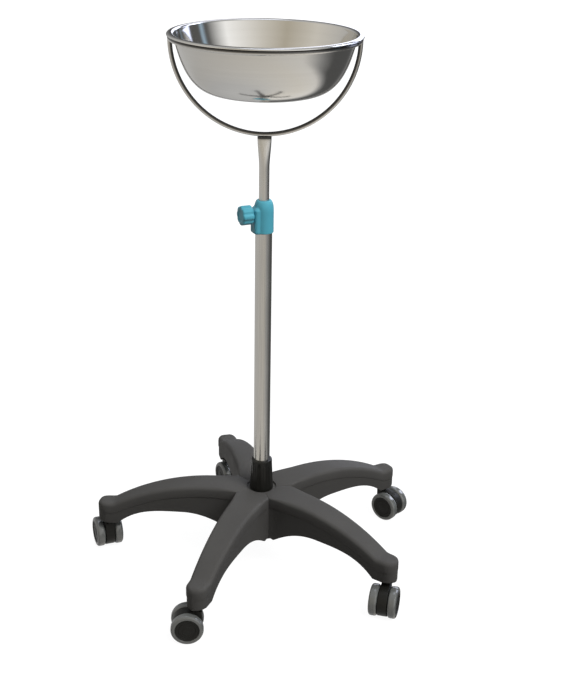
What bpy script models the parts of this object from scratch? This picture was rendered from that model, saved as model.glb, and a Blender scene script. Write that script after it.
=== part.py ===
"""Basin stand: a steel bowl in a rod ring, on a telescopic column over a five-leg castor base.

Run with Blender 4.5: blender --background --python part.py
Lengths are metres and angles degrees. Z is up, and the origin is on the floor under the column.
"""

import math

import bmesh
import bpy
from mathutils import Vector

# Castors
WHEEL_DIAMETER = 0.058
WHEEL_WIDTH = 0.0155
WHEEL_DISH = 0.0012
TYRE_DEPTH = 0.0078
TYRE_SHOULDER = 0.0036
HOOD_WIDTH = 0.0175
HOOD_DIAMETER = 0.054
HOOD_EDGE = 0.0012
AXLE_DIAMETER = 0.006
AXLE_GRIP = 0.010
CASTOR_TRAIL = 0.0178
HOOD_WALL = 0.0015
HOOD_BACK_ANGLE = 100.0
HOOD_FRONT_ANGLE = 380.0
NECK_DIAMETER = 0.0155
NECK_COLLAR_HEIGHT = 0.006
STEM_DIAMETER = 0.010
STEM_FLANGE_DIAMETER = 0.015
STEM_FLANGE_THICKNESS = 0.002
STEM_REACH_UP = 0.033
STEM_REACH_DOWN = 0.018
CASTOR_YAW = {"right_back": 140.0, "back": 116.0, "left": -70.0, "front": 2.0, "right_front": 74.0}

# Star base
FIRST_LEG_ANGLE = 32.4
STEM_CIRCLE_RADIUS = 0.2929
BOSS_WHEEL_CLEARANCE = 0.0069
BOSS_DIAMETER = 0.0384
BOSS_HEIGHT = 0.0418
BOSS_TOP_ROUND = 0.009
BOSS_FOOT_ROUND = 0.004
BOSS_END_ANGLES = (30.0, 55.0, 76.0)
LEG_CROWN_RISE = 0.0889
LEG_CROWN_REACH = 0.100
LEG_END_DROP = 0.0551
LEG_CROWN_WIDTH = 0.0553
LEG_FLARE = 0.008
LEG_ROUND = 0.007
CORNER_ROUND = 0.0022
CORNER_BLEND = 0.045
CORNER_POWER = 3.0
LEG_FOOT_ROUND = 0.0012
LEG_LIP_HEIGHT = 0.021
LEG_LIP_STEP = 0.0020
LEG_LIP_END_STEP = 0.0010
LEG_WALL = 0.0035
LEG_ROOF = 0.0042
RIB_THICKNESS = 0.0026
LEG_BAYS = 4
EDGE_SHARE = 0.33
ARCH_RISE = 0.0325
ARCH_CROWN_REACH = 0.148
ARCH_POWER = 3.6
HUB_FOOT_RISE = -0.0031
HUB_DIAMETER = 0.106
HUB_DIP = 0.0105
HUB_SEAT_DIAMETER = 0.056
HUB_SEAT_DEPTH = 0.0030
HUB_TUBE_WALL = 0.0065
HUB_FLOOR = 0.0217
HUB_ROOF = 0.006
HUB_NOTCH_RADIUS = 0.012
HUB_NOTCH_DEPTH = 0.0045

# Column
OUTER_TUBE_DIAMETER = 0.030
OUTER_TUBE_LENGTH = 0.588
INNER_TUBE_DIAMETER = 0.018
INNER_TUBE_SHOW = 0.1461
TUBE_WALL = 0.0012
FLAT_WIDTH = 0.0242
FLAT_LENGTH = 0.055
SLEEVE_HEIGHT = 0.061
SLEEVE_TOP_WALL = 0.0042
SLEEVE_FOOT_WALL = 0.0068
SLEEVE_LIP = 0.0016
FLUTE_RADIUS = 0.0030
FLUTE_DEPTH = 0.0007
FLUTE_COUNT = 14
PLUG_HEIGHT = 0.025
BOLT_DIAMETER = 0.008
BOLT_HEAD_WIDTH = 0.013
BOLT_HEAD_HEIGHT = 0.0055
BOLT_GRIP = 0.018
WASHER_DIAMETER = 0.024
WASHER_THICKNESS = 0.002
BUSH_LENGTH = 0.028
BUSH_FLANGE = 0.002
GUIDE_HEIGHT = 0.010
GUIDE_SPIGOT = 0.016
GUIDE_DROP = 0.0561

# Clamp
CLAMP_ANGLE = 204.0
COLLAR_HEIGHT = 0.0578
COLLAR_WALL = 0.0020
COLLAR_SOCKET_DEPTH = 0.022
COLLAR_SHOULDER_HEIGHT = 0.0185
COLLAR_TOP_WALL = 0.0028
COLLAR_EDGE = 0.0015
COLLAR_BOSS_STAND = 0.0042
COLLAR_BOSS_WIDTH = 0.025
COLLAR_BOSS_ROUND = 0.006
COLLAR_BOSS_HEIGHT = 0.046
CLAMP_RISE = 0.0338
PAD_DIAMETER = 0.0075
PAD_THICKNESS = 0.0022
SCREW_DIAMETER = 0.008
SCREW_IN_KNOB = 0.012
INSERT_DIAMETER = 0.013
INSERT_LENGTH = 0.0064
KNOB_DIAMETER = 0.0345
KNOB_THICKNESS = 0.0205
KNOB_EDGE = 0.0030
KNOB_LOBES = 8
KNOB_LOBE_DEPTH = 0.0016
KNOB_HUB_DIAMETER = 0.018
KNOB_HUB_LENGTH = 0.0014
KNOB_STANDOFF = 0.0012

# Bowl and its carrier
RING_DIAMETER = 0.3224
ROD_DIAMETER = 0.008
BOWL_DEPTH = 0.0986
BOWL_FLOOR_DIAMETER = 0.159
BOWL_WALL = 0.0010
BOWL_WALL_LEAN = 0.011
BOWL_BELLY = 0.052
BOWL_HEEL = 0.043
BOWL_RING_CLEARANCE = 0.0012
LIP_OVERHANG = 0.0015
LIP_THICKNESS = 0.0036

# Gaps: pieces that touch on the real object, and pieces that slide or turn on one another
SEAT_GAP = 0.0003
RUNNING_GAP = 0.0004
WHEEL_SIDE_GAP = 0.0007
OVERCUT = 0.010
WELD = 0.00001

# Facets
WHEEL_SEGMENTS = 18
PIN_SEGMENTS = 10
BOSS_SEGMENTS = 16
HUB_SEGMENTS = 40
TUBE_SEGMENTS = 20
BOWL_SEGMENTS = 36
ROD_SIDES = 8
HOOP_STEPS = 26
HOOD_STEPS = 12
BOWL_STEPS = 6
LIP_STEPS = 3
COLLAR_STEPS = 4
FLAT_STATIONS = 5
CUTTER_SEGMENTS = 12
FLUTE_SEGMENTS = 6
LEG_STATIONS = 8
HUB_STATIONS = 4
CORNER_TRIES = 40
KNOB_LOBE_FACETS = 4
HEX_SIDES = 6
ARC_STEPS = 2
FLAT_ANGLE = 0.4
SMOOTH_ANGLE = 32.0

# Derived places
LEG_NAMES = tuple(CASTOR_YAW)
LEG_STEP = 360.0 / len(LEG_NAMES)
wheel_radius = WHEEL_DIAMETER / 2
boss_radius = BOSS_DIAMETER / 2
boss_foot = WHEEL_DIAMETER + BOSS_WHEEL_CLEARANCE
boss_top = boss_foot + BOSS_HEIGHT
crown_height = boss_foot + LEG_CROWN_RISE
arch_height = boss_foot + ARCH_RISE
hub_foot = boss_foot + HUB_FOOT_RISE
hub_radius = HUB_DIAMETER / 2
hub_seat_radius = HUB_SEAT_DIAMETER / 2
outer_radius = OUTER_TUBE_DIAMETER / 2
outer_bore = outer_radius - TUBE_WALL
inner_radius = INNER_TUBE_DIAMETER / 2
inner_bore = inner_radius - TUBE_WALL
outer_foot = hub_foot + HUB_FLOOR
outer_top = outer_foot + OUTER_TUBE_LENGTH
inner_top = outer_top + INNER_TUBE_SHOW
inner_foot = outer_foot + PLUG_HEIGHT + GUIDE_DROP + GUIDE_HEIGHT + SEAT_GAP
collar_foot = outer_top - COLLAR_SOCKET_DEPTH
collar_top = collar_foot + COLLAR_HEIGHT
collar_radius = outer_radius + SEAT_GAP + COLLAR_WALL
collar_face = collar_radius + COLLAR_BOSS_STAND
clamp_height = collar_foot + CLAMP_RISE
screw_radius = SCREW_DIAMETER / 2
pad_radius = PAD_DIAMETER / 2
pad_end = inner_radius + SEAT_GAP + PAD_THICKNESS
insert_radius = INSERT_DIAMETER / 2
knob_face = collar_face + KNOB_STANDOFF
rod_radius = ROD_DIAMETER / 2
ring_radius = RING_DIAMETER / 2 - rod_radius
hoop_height = inner_top + SEAT_GAP + rod_radius + ring_radius
ring_height = hoop_height + SEAT_GAP + rod_radius
lip_foot = ring_height + rod_radius + SEAT_GAP
lip_top = lip_foot + LIP_THICKNESS


def clear_scene():
    """Empties the scene, so that the script can run in any open file."""
    for obj in list(bpy.data.objects):
        bpy.data.objects.remove(obj)


def new_collection(name):
    collection = bpy.data.collections.new(name)
    bpy.context.scene.collection.children.link(collection)
    return collection


clear_scene()
parts = new_collection("basin_stand")
cutters = new_collection("cutters")


def new_material(name, colour, roughness, metallic):
    material = bpy.data.materials.new(name)
    material.use_nodes = True
    shader = material.node_tree.nodes["Principled BSDF"]
    shader.inputs["Base Color"].default_value = (*colour, 1.0)
    shader.inputs["Roughness"].default_value = roughness
    shader.inputs["Metallic"].default_value = metallic
    return material


POLISHED_STEEL = new_material("polished_steel", (0.62, 0.60, 0.57), 0.16, 1.0)
TUBE_STEEL = new_material("tube_steel", (0.58, 0.56, 0.53), 0.24, 1.0)
ROD_STEEL = new_material("rod_steel", (0.55, 0.54, 0.52), 0.22, 1.0)
ZINC_STEEL = new_material("zinc_steel", (0.50, 0.50, 0.50), 0.40, 1.0)
BRASS = new_material("brass", (0.60, 0.45, 0.20), 0.35, 1.0)
BASE_NYLON = new_material("base_nylon", (0.066, 0.065, 0.063), 0.55, 0.0)
GLOSS_BLACK = new_material("gloss_black", (0.014, 0.014, 0.012), 0.25, 0.0)
HOOD_NYLON = new_material("hood_nylon", (0.017, 0.017, 0.016), 0.45, 0.0)
GREY_RUBBER = new_material("grey_rubber", (0.16, 0.165, 0.16), 0.45, 0.0)
TEAL_PLASTIC = new_material("teal_plastic", (0.071, 0.275, 0.355), 0.45, 0.0)
WHITE_NYLON = new_material("white_nylon", (0.75, 0.74, 0.70), 0.50, 0.0)


def add_empty(name, parent=None, location=(0.0, 0.0, 0.0), rotation=(0.0, 0.0, 0.0)):
    empty = bpy.data.objects.new(name, None)
    empty.empty_display_size = rod_radius
    empty.parent = parent
    empty.location = location
    empty.rotation_euler = rotation
    parts.objects.link(empty)
    return empty


def add_part(obj, name, material, parent=None, location=(0.0, 0.0, 0.0), rotation=(0.0, 0.0, 0.0)):
    """Names a piece, gives it its material and puts it in the object's collection."""
    obj.name = name
    obj.parent = parent
    obj.location = location
    obj.rotation_euler = rotation
    obj.data.materials.clear()
    obj.data.materials.append(material)
    parts.objects.link(obj)
    return obj


def add_helper(obj, location=(0.0, 0.0, 0.0), rotation=(0.0, 0.0, 0.0)):
    """Puts a cutter, or a form that is joined to a piece, out of the render."""
    obj.location = location
    obj.rotation_euler = rotation
    obj.hide_render = True
    obj.display_type = "WIRE"
    cutters.objects.link(obj)
    return obj


def boolean(obj, other, operation, solver="EXACT"):
    modifier = obj.modifiers.new(f"{operation.lower()} {other.name}", "BOOLEAN")
    modifier.operation = operation
    modifier.solver = solver
    modifier.object = other
    return obj


def cut(obj, *others, solver="EXACT"):
    for other in others:
        boolean(obj, other, "DIFFERENCE", solver)
    return obj


def join(obj, *others):
    for other in others:
        boolean(obj, other, "UNION")
    return obj


def made_mesh(obj):
    """The mesh of an object with its modifiers, welded, and with flat stretches made one face."""
    bpy.context.view_layer.update()
    graph = bpy.context.evaluated_depsgraph_get()
    mesh = bpy.data.meshes.new_from_object(obj.evaluated_get(graph))
    form = bmesh.new()
    form.from_mesh(mesh)
    bmesh.ops.remove_doubles(form, verts=form.verts, dist=WELD)
    bmesh.ops.dissolve_limit(form, angle_limit=math.radians(FLAT_ANGLE), verts=form.verts, edges=form.edges)
    bmesh.ops.triangulate(form, faces=form.faces)
    form.to_mesh(mesh)
    form.free()
    shade(mesh)
    return mesh


def shade(mesh):
    mesh.shade_smooth()
    mesh.set_sharp_from_angle(angle=math.radians(SMOOTH_ANGLE))


def mesh_object(name, form):
    """An object from a bmesh, with its faces turned out."""
    bmesh.ops.recalc_face_normals(form, faces=form.faces)
    mesh = bpy.data.meshes.new(name)
    form.to_mesh(mesh)
    form.free()
    shade(mesh)
    return bpy.data.objects.new(name, mesh)


def turned(name, profile, segments, closed=False):
    """A turned piece about Z, from (radius, height) pairs that run down its outer side."""
    mesh = bpy.data.meshes.new(name)
    edges = [(i, i + 1) for i in range(len(profile) - 1)]
    if closed:
        edges.append((len(profile) - 1, 0))
    mesh.from_pydata([(radius, 0.0, height) for radius, height in profile], edges, [])
    obj = bpy.data.objects.new(name, mesh)
    screw = obj.modifiers.new("turn", "SCREW")
    screw.steps = segments
    screw.render_steps = segments
    screw.use_merge_vertices = True
    screw.merge_threshold = WELD
    screw.use_smooth_shade = True
    return obj


def tube(name, outside, inside, foot, top, segments=TUBE_SEGMENTS):
    corners = [(inside, top), (outside, top), (outside, foot), (inside, foot)]
    return turned(name, corners, segments, closed=True)


def pin(name, radius, foot, top, segments=PIN_SEGMENTS):
    return turned(name, [(0.0, top), (radius, top), (radius, foot), (0.0, foot)], segments)


def loft(name, rings, closed=False):
    """A skin through rings of points; with closed set, the last ring meets the first."""
    form = bmesh.new()
    loops = [[form.verts.new(point) for point in ring] for ring in rings]
    pairs = list(zip(loops, loops[1:]))
    if closed:
        pairs.append((loops[-1], loops[0]))
    else:
        form.faces.new(loops[0])
        form.faces.new(loops[-1])
    for first, second in pairs:
        for i in range(len(first)):
            j = (i + 1) % len(first)
            form.faces.new((first[i], first[j], second[j], second[i]))
    bmesh.ops.triangulate(form, faces=form.faces)
    return mesh_object(name, form)


def prism(name, outline, foot, top):
    """An upright prism on an outline of (x, y) pairs."""
    return loft(name, [[(x, y, height) for x, y in outline] for height in (foot, top)])


def joined_bodies(name, objects):
    """One mesh of several bodies that don't touch, to be cut away together."""
    form = bmesh.new()
    for obj in objects:
        form.from_mesh(obj.data)
        bpy.data.objects.remove(obj)
    return mesh_object(name, form)


def arc(centre, radius, start, end, steps):
    """Points along an arc, as (across, up) pairs, from one angle to another in degrees."""
    points = []
    for i in range(steps + 1):
        angle = math.radians(start + (end - start) * i / steps)
        points.append((centre[0] + radius * math.cos(angle), centre[1] + radius * math.sin(angle)))
    return points


def circle(centre, radius, sides):
    """Points round a circle, as (across, up) pairs."""
    return arc(centre, radius, 0.0, 360.0, sides)[:-1]


def bezier(start, first, second, end, steps):
    """Points along a cubic curve, as (across, up) pairs."""
    points = []
    for i in range(steps + 1):
        t = i / steps
        weights = ((1 - t) ** 3, 3 * t * (1 - t) ** 2, 3 * t * t * (1 - t), t**3)
        pairs = zip(weights, (start, first, second, end))
        points.append(tuple(sum((w * Vector(p) for w, p in pairs), Vector((0.0, 0.0)))))
    return points


def spread(start, end, count):
    return [start + (end - start) * i / (count - 1) for i in range(count)]


def leg_angle(index):
    return math.radians(FIRST_LEG_ANGLE + index * LEG_STEP)


def leg_top(reach):
    """Height along the middle of a leg: a dip to the hub, a round fall to the castor, then level."""
    if reach < LEG_CROWN_REACH:
        return crown_height - HUB_DIP * (1.0 - reach / LEG_CROWN_REACH) ** 2
    full_run = STEM_CIRCLE_RADIUS - LEG_CROWN_REACH
    radius = (full_run**2 + LEG_END_DROP**2) / (2 * LEG_END_DROP)
    run = min(reach - LEG_CROWN_REACH, full_run)
    return max(boss_top, crown_height - radius + math.sqrt(radius**2 - run**2))


def leg_foot(reach):
    """Height of a leg's lower edge: an arch from the hub's rim to the boss of the castor."""
    if reach < ARCH_CROWN_REACH:
        share = (ARCH_CROWN_REACH - reach) / (ARCH_CROWN_REACH - hub_radius)
        return arch_height - (ARCH_RISE - HUB_FOOT_RISE) * min(1.0, share) ** 2
    share = (reach - ARCH_CROWN_REACH) / (STEM_CIRCLE_RADIUS - boss_radius - ARCH_CROWN_REACH)
    return arch_height - ARCH_RISE * min(1.0, share) ** ARCH_POWER


def leg_half_width(reach):
    """Half width of a leg: a taper to the boss, a flare at the hub, and a round end about the stem."""
    if reach > STEM_CIRCLE_RADIUS:
        return math.sqrt(boss_radius**2 - (reach - STEM_CIRCLE_RADIUS) ** 2)
    slope = (LEG_CROWN_WIDTH - BOSS_DIAMETER) / (STEM_CIRCLE_RADIUS - LEG_CROWN_REACH)
    flare = LEG_FLARE * max(0.0, 1.0 - reach / LEG_CROWN_REACH) ** 2
    return (BOSS_DIAMETER + slope * (STEM_CIRCLE_RADIUS - reach)) / 2 + flare


def lip_step(reach):
    """How far a leg's skirt is set in under its lip: most at the hub and least at the castor."""
    share = min(1.0, reach / (STEM_CIRCLE_RADIUS - boss_radius))
    return LEG_LIP_STEP + share * (LEG_LIP_END_STEP - LEG_LIP_STEP)


def past_stem(reach):
    """Share of the boss's radius by which a reach is beyond the stem."""
    return max(0.0, reach - STEM_CIRCLE_RADIUS) / boss_radius


def foot_round(reach):
    """Round of a leg's lower edge, which grows round the boss."""
    return LEG_FOOT_ROUND + past_stem(reach) * (BOSS_FOOT_ROUND - LEG_FOOT_ROUND)


def end_fall(reach):
    """How far the top has fallen at a reach, where it rounds over the end of the boss."""
    into_round = max(0.0, (past_stem(reach) * boss_radius - boss_radius) / BOSS_TOP_ROUND + 1.0)
    return BOSS_TOP_ROUND * (1.0 - math.sqrt(1.0 - into_round**2))


def corner_reach():
    """Reach along a leg at which its side meets its neighbour's, found by closing in on it."""
    reach = LEG_CROWN_REACH
    for _ in range(CORNER_TRIES):
        reach = leg_half_width(reach) / math.tan(math.radians(LEG_STEP / 2))
    return reach


def leg_side(reach, corner):
    """Half a leg's outline, as (across, height) pairs from its top round its side to its lower edge.

    Inside the corner with the next leg, the outline stops at the plane between the two.
    """
    top = leg_top(reach)
    foot = leg_foot(reach)
    lip = top - LEG_LIP_HEIGHT
    if reach < corner + WELD:
        half = reach * math.tan(math.radians(LEG_STEP / 2))
        shoulder = CORNER_ROUND * (reach / corner) ** CORNER_POWER
        step = 0.0
        under = 0.0
    else:
        half = leg_half_width(reach)
        grown = min(1.0, (reach - corner) / CORNER_BLEND)
        shoulder = min(half, CORNER_ROUND + grown * (LEG_ROUND - CORNER_ROUND))
        step = min(lip_step(reach), half * EDGE_SHARE)
        under = min(foot_round(reach), half * EDGE_SHARE)
    top -= end_fall(reach)
    side = [(0.0, top)]
    side += arc((half - shoulder, top - shoulder), shoulder, 90.0, 0.0, ARC_STEPS)
    side += [(half, lip), (half - step, lip), (half - step, foot + under), (half - step - under, foot)]
    side += [(0.0, foot)]
    return side


def leg_reaches(corner):
    level = STEM_CIRCLE_RADIUS - boss_radius
    reaches = spread(0.0, corner, HUB_STATIONS) + spread(corner, level, LEG_STATIONS)[1:]
    reaches.append(STEM_CIRCLE_RADIUS)
    for angle in BOSS_END_ANGLES:
        reaches.append(STEM_CIRCLE_RADIUS + boss_radius * math.sin(math.radians(angle)))
    return reaches


def star_form():
    """The five legs as one skin: each leg is skinned in its own sector and welded to the next ones."""
    corner = corner_reach()
    reaches = leg_reaches(corner)
    form = bmesh.new()
    for index in range(len(LEG_NAMES)):
        along = Vector((math.cos(leg_angle(index)), math.sin(leg_angle(index)), 0.0))
        across = Vector((-along.y, along.x, 0.0))
        for sign in (-1, 1):
            rows = []
            for reach in reaches:
                row = []
                for y, z in leg_side(reach, corner):
                    row.append(form.verts.new(along * reach + across * sign * y + Vector((0.0, 0.0, z))))
                rows.append(row)
            form.faces.new(rows[-1])
            for station, (here, there) in enumerate(zip(rows, rows[1:])):
                last = len(here) - 2
                inside = station < HUB_STATIONS - 1
                for k in range(last + 1):
                    if inside and ARC_STEPS < k < last:
                        continue
                    form.faces.new((here[k], there[k], there[k + 1], here[k + 1]))
    bmesh.ops.remove_doubles(form, verts=form.verts, dist=WELD)
    bmesh.ops.triangulate(form, faces=form.faces)
    return mesh_object("star_form", form)


def leg_pockets(along, across):
    """The hollows under a leg: two rows, parted by a rib down the middle and by cross ribs."""
    first = hub_radius + LEG_WALL
    last = STEM_CIRCLE_RADIUS - boss_radius - LEG_WALL
    bay = (last - first) / LEG_BAYS
    bodies = []
    for index in range(LEG_BAYS):
        start = first + index * bay + RIB_THICKNESS / 2
        for side in (-1, 1):
            rings = []
            for reach in (start, start + bay - RIB_THICKNESS):
                near = along * reach + across * side * RIB_THICKNESS / 2
                far = along * reach + across * side * (leg_half_width(reach) - lip_step(reach) - LEG_WALL)
                roof = Vector((0.0, 0.0, leg_top(reach) - LEG_ROOF))
                mouth = Vector((0.0, 0.0, leg_foot(reach) - OVERCUT))
                rings.append([near + mouth, far + mouth, far + roof, near + roof])
            bodies.append(loft(f"pocket_{index}_{side}", rings))
    return bodies


def hub_seat_height():
    return leg_top(hub_seat_radius) - HUB_SEAT_DEPTH


def hub_pockets():
    """Hollows under the hub, between its wall and the tube socket, parted by two ribs to a leg."""
    inside = outer_radius + SEAT_GAP + HUB_TUBE_WALL
    outside = hub_radius - LEG_WALL
    bodies = []
    for index in range(2 * len(LEG_NAMES)):
        start = FIRST_LEG_ANGLE + index * LEG_STEP / 2
        end = start + LEG_STEP / 2
        outline = []
        for radius, turn in ((inside, 1), (outside, -1)):
            margin = math.degrees(math.asin(RIB_THICKNESS / 2 / radius))
            points = arc((0.0, 0.0), radius, start + margin, end - margin, ARC_STEPS)
            outline += points[::turn]
        roof = hub_seat_height() - HUB_ROOF
        bodies.append(prism(f"hub_pocket_{index}", outline, hub_foot - OVERCUT, roof))
    return bodies


def hub_notch(along, across):
    """A round notch that scallops the hub's lower rim between two legs."""
    centre_height = hub_foot + HUB_NOTCH_DEPTH - HUB_NOTCH_RADIUS
    outline = circle((0.0, centre_height), HUB_NOTCH_RADIUS, CUTTER_SEGMENTS)
    rings = []
    for reach in (hub_radius - LEG_WALL / 2, hub_radius + 2 * OVERCUT):
        rings.append([along * reach + across * x + Vector((0.0, 0.0, z)) for x, z in outline])
    return loft("hub_notch", rings)


def add_star_base():
    """The base: legs and hub in one moulding, hollow below, bored for the castors and the column."""
    base = add_helper(star_form())
    hollows = hub_pockets()
    for index in range(len(LEG_NAMES)):
        for part_way, maker in ((0.0, leg_pockets), (0.5, hub_notch)):
            angle = leg_angle(index + part_way)
            along = Vector((math.cos(angle), math.sin(angle), 0.0))
            made = maker(along, Vector((-along.y, along.x, 0.0)))
            hollows += made if maker is leg_pockets else [made]
    cut(base, add_helper(joined_bodies("hollows", hollows)), solver="MANIFOLD")
    bore_radius = STEM_DIAMETER / 2 + SEAT_GAP
    bore_top = boss_foot + STEM_REACH_UP + SEAT_GAP
    for index, name in enumerate(LEG_NAMES):
        angle = leg_angle(index)
        at_stem = (STEM_CIRCLE_RADIUS * math.cos(angle), STEM_CIRCLE_RADIUS * math.sin(angle), 0.0)
        bore = pin(f"{name}_stem_bore", bore_radius, boss_foot - OVERCUT, bore_top)
        cut(base, add_helper(bore, at_stem), solver="MANIFOLD")
    above = crown_height + OVERCUT
    seat = pin("column_seat", hub_seat_radius, hub_seat_height(), above, HUB_SEGMENTS)
    socket = pin("column_socket", outer_radius + SEAT_GAP, outer_foot - SEAT_GAP, above, TUBE_SEGMENTS)
    hole = pin("bolt_hole", BOLT_DIAMETER / 2 + SEAT_GAP, hub_foot - OVERCUT, above)
    for cutter in (seat, socket, hole):
        cut(base, add_helper(cutter), solver="MANIFOLD")
    add_part(bpy.data.objects.new("star_base", made_mesh(base)), "star_base", BASE_NYLON, stand)


def wheel_mesh():
    """A wheel's core, closed on its outer face and bored for the axle from its inner face."""
    half = WHEEL_WIDTH / 2
    radius = wheel_radius - TYRE_DEPTH - SEAT_GAP
    bore = AXLE_DIAMETER / 2 + SEAT_GAP
    blind = AXLE_GRIP + SEAT_GAP - half
    face = half - WHEEL_DISH
    profile = [(0.0, face), (radius - WHEEL_DISH, face), (radius, half), (radius, -half)]
    profile += [(bore, -half), (bore, blind), (0.0, blind)]
    return made_mesh(add_helper(turned("wheel_form", profile, WHEEL_SEGMENTS)))


def tyre_mesh():
    half = WHEEL_WIDTH / 2
    seat = wheel_radius - TYRE_DEPTH
    shoulder = wheel_radius - TYRE_SHOULDER
    profile = [(seat, half)]
    profile += arc((shoulder, half - TYRE_SHOULDER), TYRE_SHOULDER, 90.0, 0.0, 1)
    profile += arc((shoulder, TYRE_SHOULDER - half), TYRE_SHOULDER, 0.0, -90.0, 1)
    profile += [(seat, -half)]
    return made_mesh(add_helper(turned("tyre_form", profile, WHEEL_SEGMENTS, closed=True)))


def hood_top():
    return boss_foot - STEM_FLANGE_THICKNESS - 2 * SEAT_GAP


def hood_mesh():
    """A castor's body: a drum between the wheels that runs up into the neck round the stem."""
    drum = HOOD_DIAMETER / 2
    neck = NECK_DIAMETER / 2
    shoulder = hood_top() - NECK_COLLAR_HEIGHT
    centre = (-CASTOR_TRAIL, wheel_radius)
    bore_foot = hood_top() - STEM_REACH_DOWN - SEAT_GAP
    outline = arc(centre, drum, HOOD_BACK_ANGLE, HOOD_FRONT_ANGLE, HOOD_STEPS)
    outline += [(neck, bore_foot - HOOD_WALL), (neck, shoulder), (-neck, shoulder)]
    half = HOOD_WIDTH / 2
    edge = half - HOOD_EDGE
    middle = Vector(centre)
    rings = []
    for across, inset in ((-half, HOOD_EDGE), (-edge, 0.0), (edge, 0.0), (half, HOOD_EDGE)):
        shrunk = [Vector(point) + (middle - Vector(point)).normalized() * inset for point in outline]
        rings.append([(point.x, across, point.y) for point in shrunk])
    hood = add_helper(loft("hood_form", rings))
    collar = pin("neck_collar", neck, shoulder - OVERCUT, hood_top(), BOSS_SEGMENTS)
    join(hood, add_helper(collar))
    stem_bore = pin("hood_stem_bore", STEM_DIAMETER / 2 + SEAT_GAP, bore_foot, boss_foot + OVERCUT)
    axle_bore = pin("hood_axle_bore", AXLE_DIAMETER / 2 + SEAT_GAP, -HOOD_WIDTH, HOOD_WIDTH)
    along_axle = (math.radians(90.0), 0.0, 0.0)
    cut(hood, add_helper(stem_bore))
    cut(hood, add_helper(axle_bore, (-CASTOR_TRAIL, 0.0, wheel_radius), along_axle))
    return made_mesh(hood)


def stem_mesh():
    pin_radius = STEM_DIAMETER / 2
    flange = STEM_FLANGE_DIAMETER / 2
    flange_top = boss_foot - SEAT_GAP
    flange_foot = flange_top - STEM_FLANGE_THICKNESS
    top = boss_foot + STEM_REACH_UP
    foot = hood_top() - STEM_REACH_DOWN
    profile = [(0.0, top), (pin_radius, top), (pin_radius, flange_top), (flange, flange_top)]
    profile += [(flange, flange_foot), (pin_radius, flange_foot), (pin_radius, foot), (0.0, foot)]
    return made_mesh(add_helper(turned("stem_form", profile, PIN_SEGMENTS)))


def axle_mesh():
    reach = HOOD_WIDTH / 2 + WHEEL_SIDE_GAP + AXLE_GRIP
    return made_mesh(add_helper(pin("axle_form", AXLE_DIAMETER / 2, -reach, reach)))


def add_castors():
    meshes = {
        "castor_stem": (stem_mesh(), ZINC_STEEL),
        "castor_hood": (hood_mesh(), HOOD_NYLON),
        "castor_axle": (axle_mesh(), ZINC_STEEL),
    }
    wheel = wheel_mesh()
    tyre = tyre_mesh()
    wheel_place = HOOD_WIDTH / 2 + WHEEL_SIDE_GAP + WHEEL_WIDTH / 2
    quarter = math.radians(90.0)
    for index, leg in enumerate(LEG_NAMES):
        angle = leg_angle(index)
        at_stem = (STEM_CIRCLE_RADIUS * math.cos(angle), STEM_CIRCLE_RADIUS * math.sin(angle), 0.0)
        yaw = (0.0, 0.0, math.radians(CASTOR_YAW[leg]))
        swivel = add_empty(f"{leg}_castor_swivel", stand, at_stem, yaw)
        at_axle = (-CASTOR_TRAIL, 0.0, wheel_radius)
        axle = add_empty(f"{leg}_castor_axis", swivel, at_axle)
        for kind, (mesh, material) in meshes.items():
            piece = bpy.data.objects.new(kind, mesh)
            if kind == "castor_axle":
                add_part(piece, f"{leg}_{kind}", material, axle, rotation=(quarter, 0.0, 0.0))
            else:
                add_part(piece, f"{leg}_{kind}", material, swivel)
        for side, sign in (("left", 1), ("right", -1)):
            place = (0.0, sign * wheel_place, 0.0)
            turn = (-sign * quarter, 0.0, 0.0)
            core = bpy.data.objects.new("wheel", wheel)
            add_part(core, f"{leg}_wheel_{side}", HOOD_NYLON, axle, place, turn)
            tread = bpy.data.objects.new("tyre", tyre)
            add_part(tread, f"{leg}_tyre_{side}", GREY_RUBBER, axle, place, turn)


def add_column_sleeve():
    """The fluted ferrule round the column's foot, thicker at its foot and with a round lip."""
    bore = outer_radius + SEAT_GAP
    foot = hub_seat_height() + SEAT_GAP
    top = foot + SLEEVE_HEIGHT
    top_radius = bore + SLEEVE_TOP_WALL
    foot_radius = bore + SLEEVE_FOOT_WALL
    lip = arc((top_radius - SLEEVE_LIP, top - SLEEVE_LIP), SLEEVE_LIP, 90.0, 0.0, ARC_STEPS)
    profile = [(bore, top), *lip, (foot_radius, foot + SLEEVE_LIP), (foot_radius, foot), (bore, foot)]
    sleeve = turned("column_sleeve", profile, TUBE_SEGMENTS, closed=True)
    bodies = []
    for index in range(FLUTE_COUNT):
        angle = 2 * math.pi * index / FLUTE_COUNT
        along = Vector((math.cos(angle), math.sin(angle), 0.0))
        across = Vector((-along.y, along.x, 0.0))
        rings = []
        for height, radius in ((foot + 2 * SLEEVE_LIP, foot_radius), (top - 2 * SLEEVE_LIP, top_radius)):
            centre = along * (radius + FLUTE_RADIUS - FLUTE_DEPTH) + Vector((0.0, 0.0, height))
            outline = circle((0.0, 0.0), FLUTE_RADIUS, FLUTE_SEGMENTS)
            rings.append([centre + along * x + across * y for x, y in outline])
        bodies.append(loft(f"flute_{index}", rings))
    cut(sleeve, add_helper(joined_bodies("flutes", bodies)))
    add_part(sleeve, "column_sleeve", GLOSS_BLACK, stand)


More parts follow.
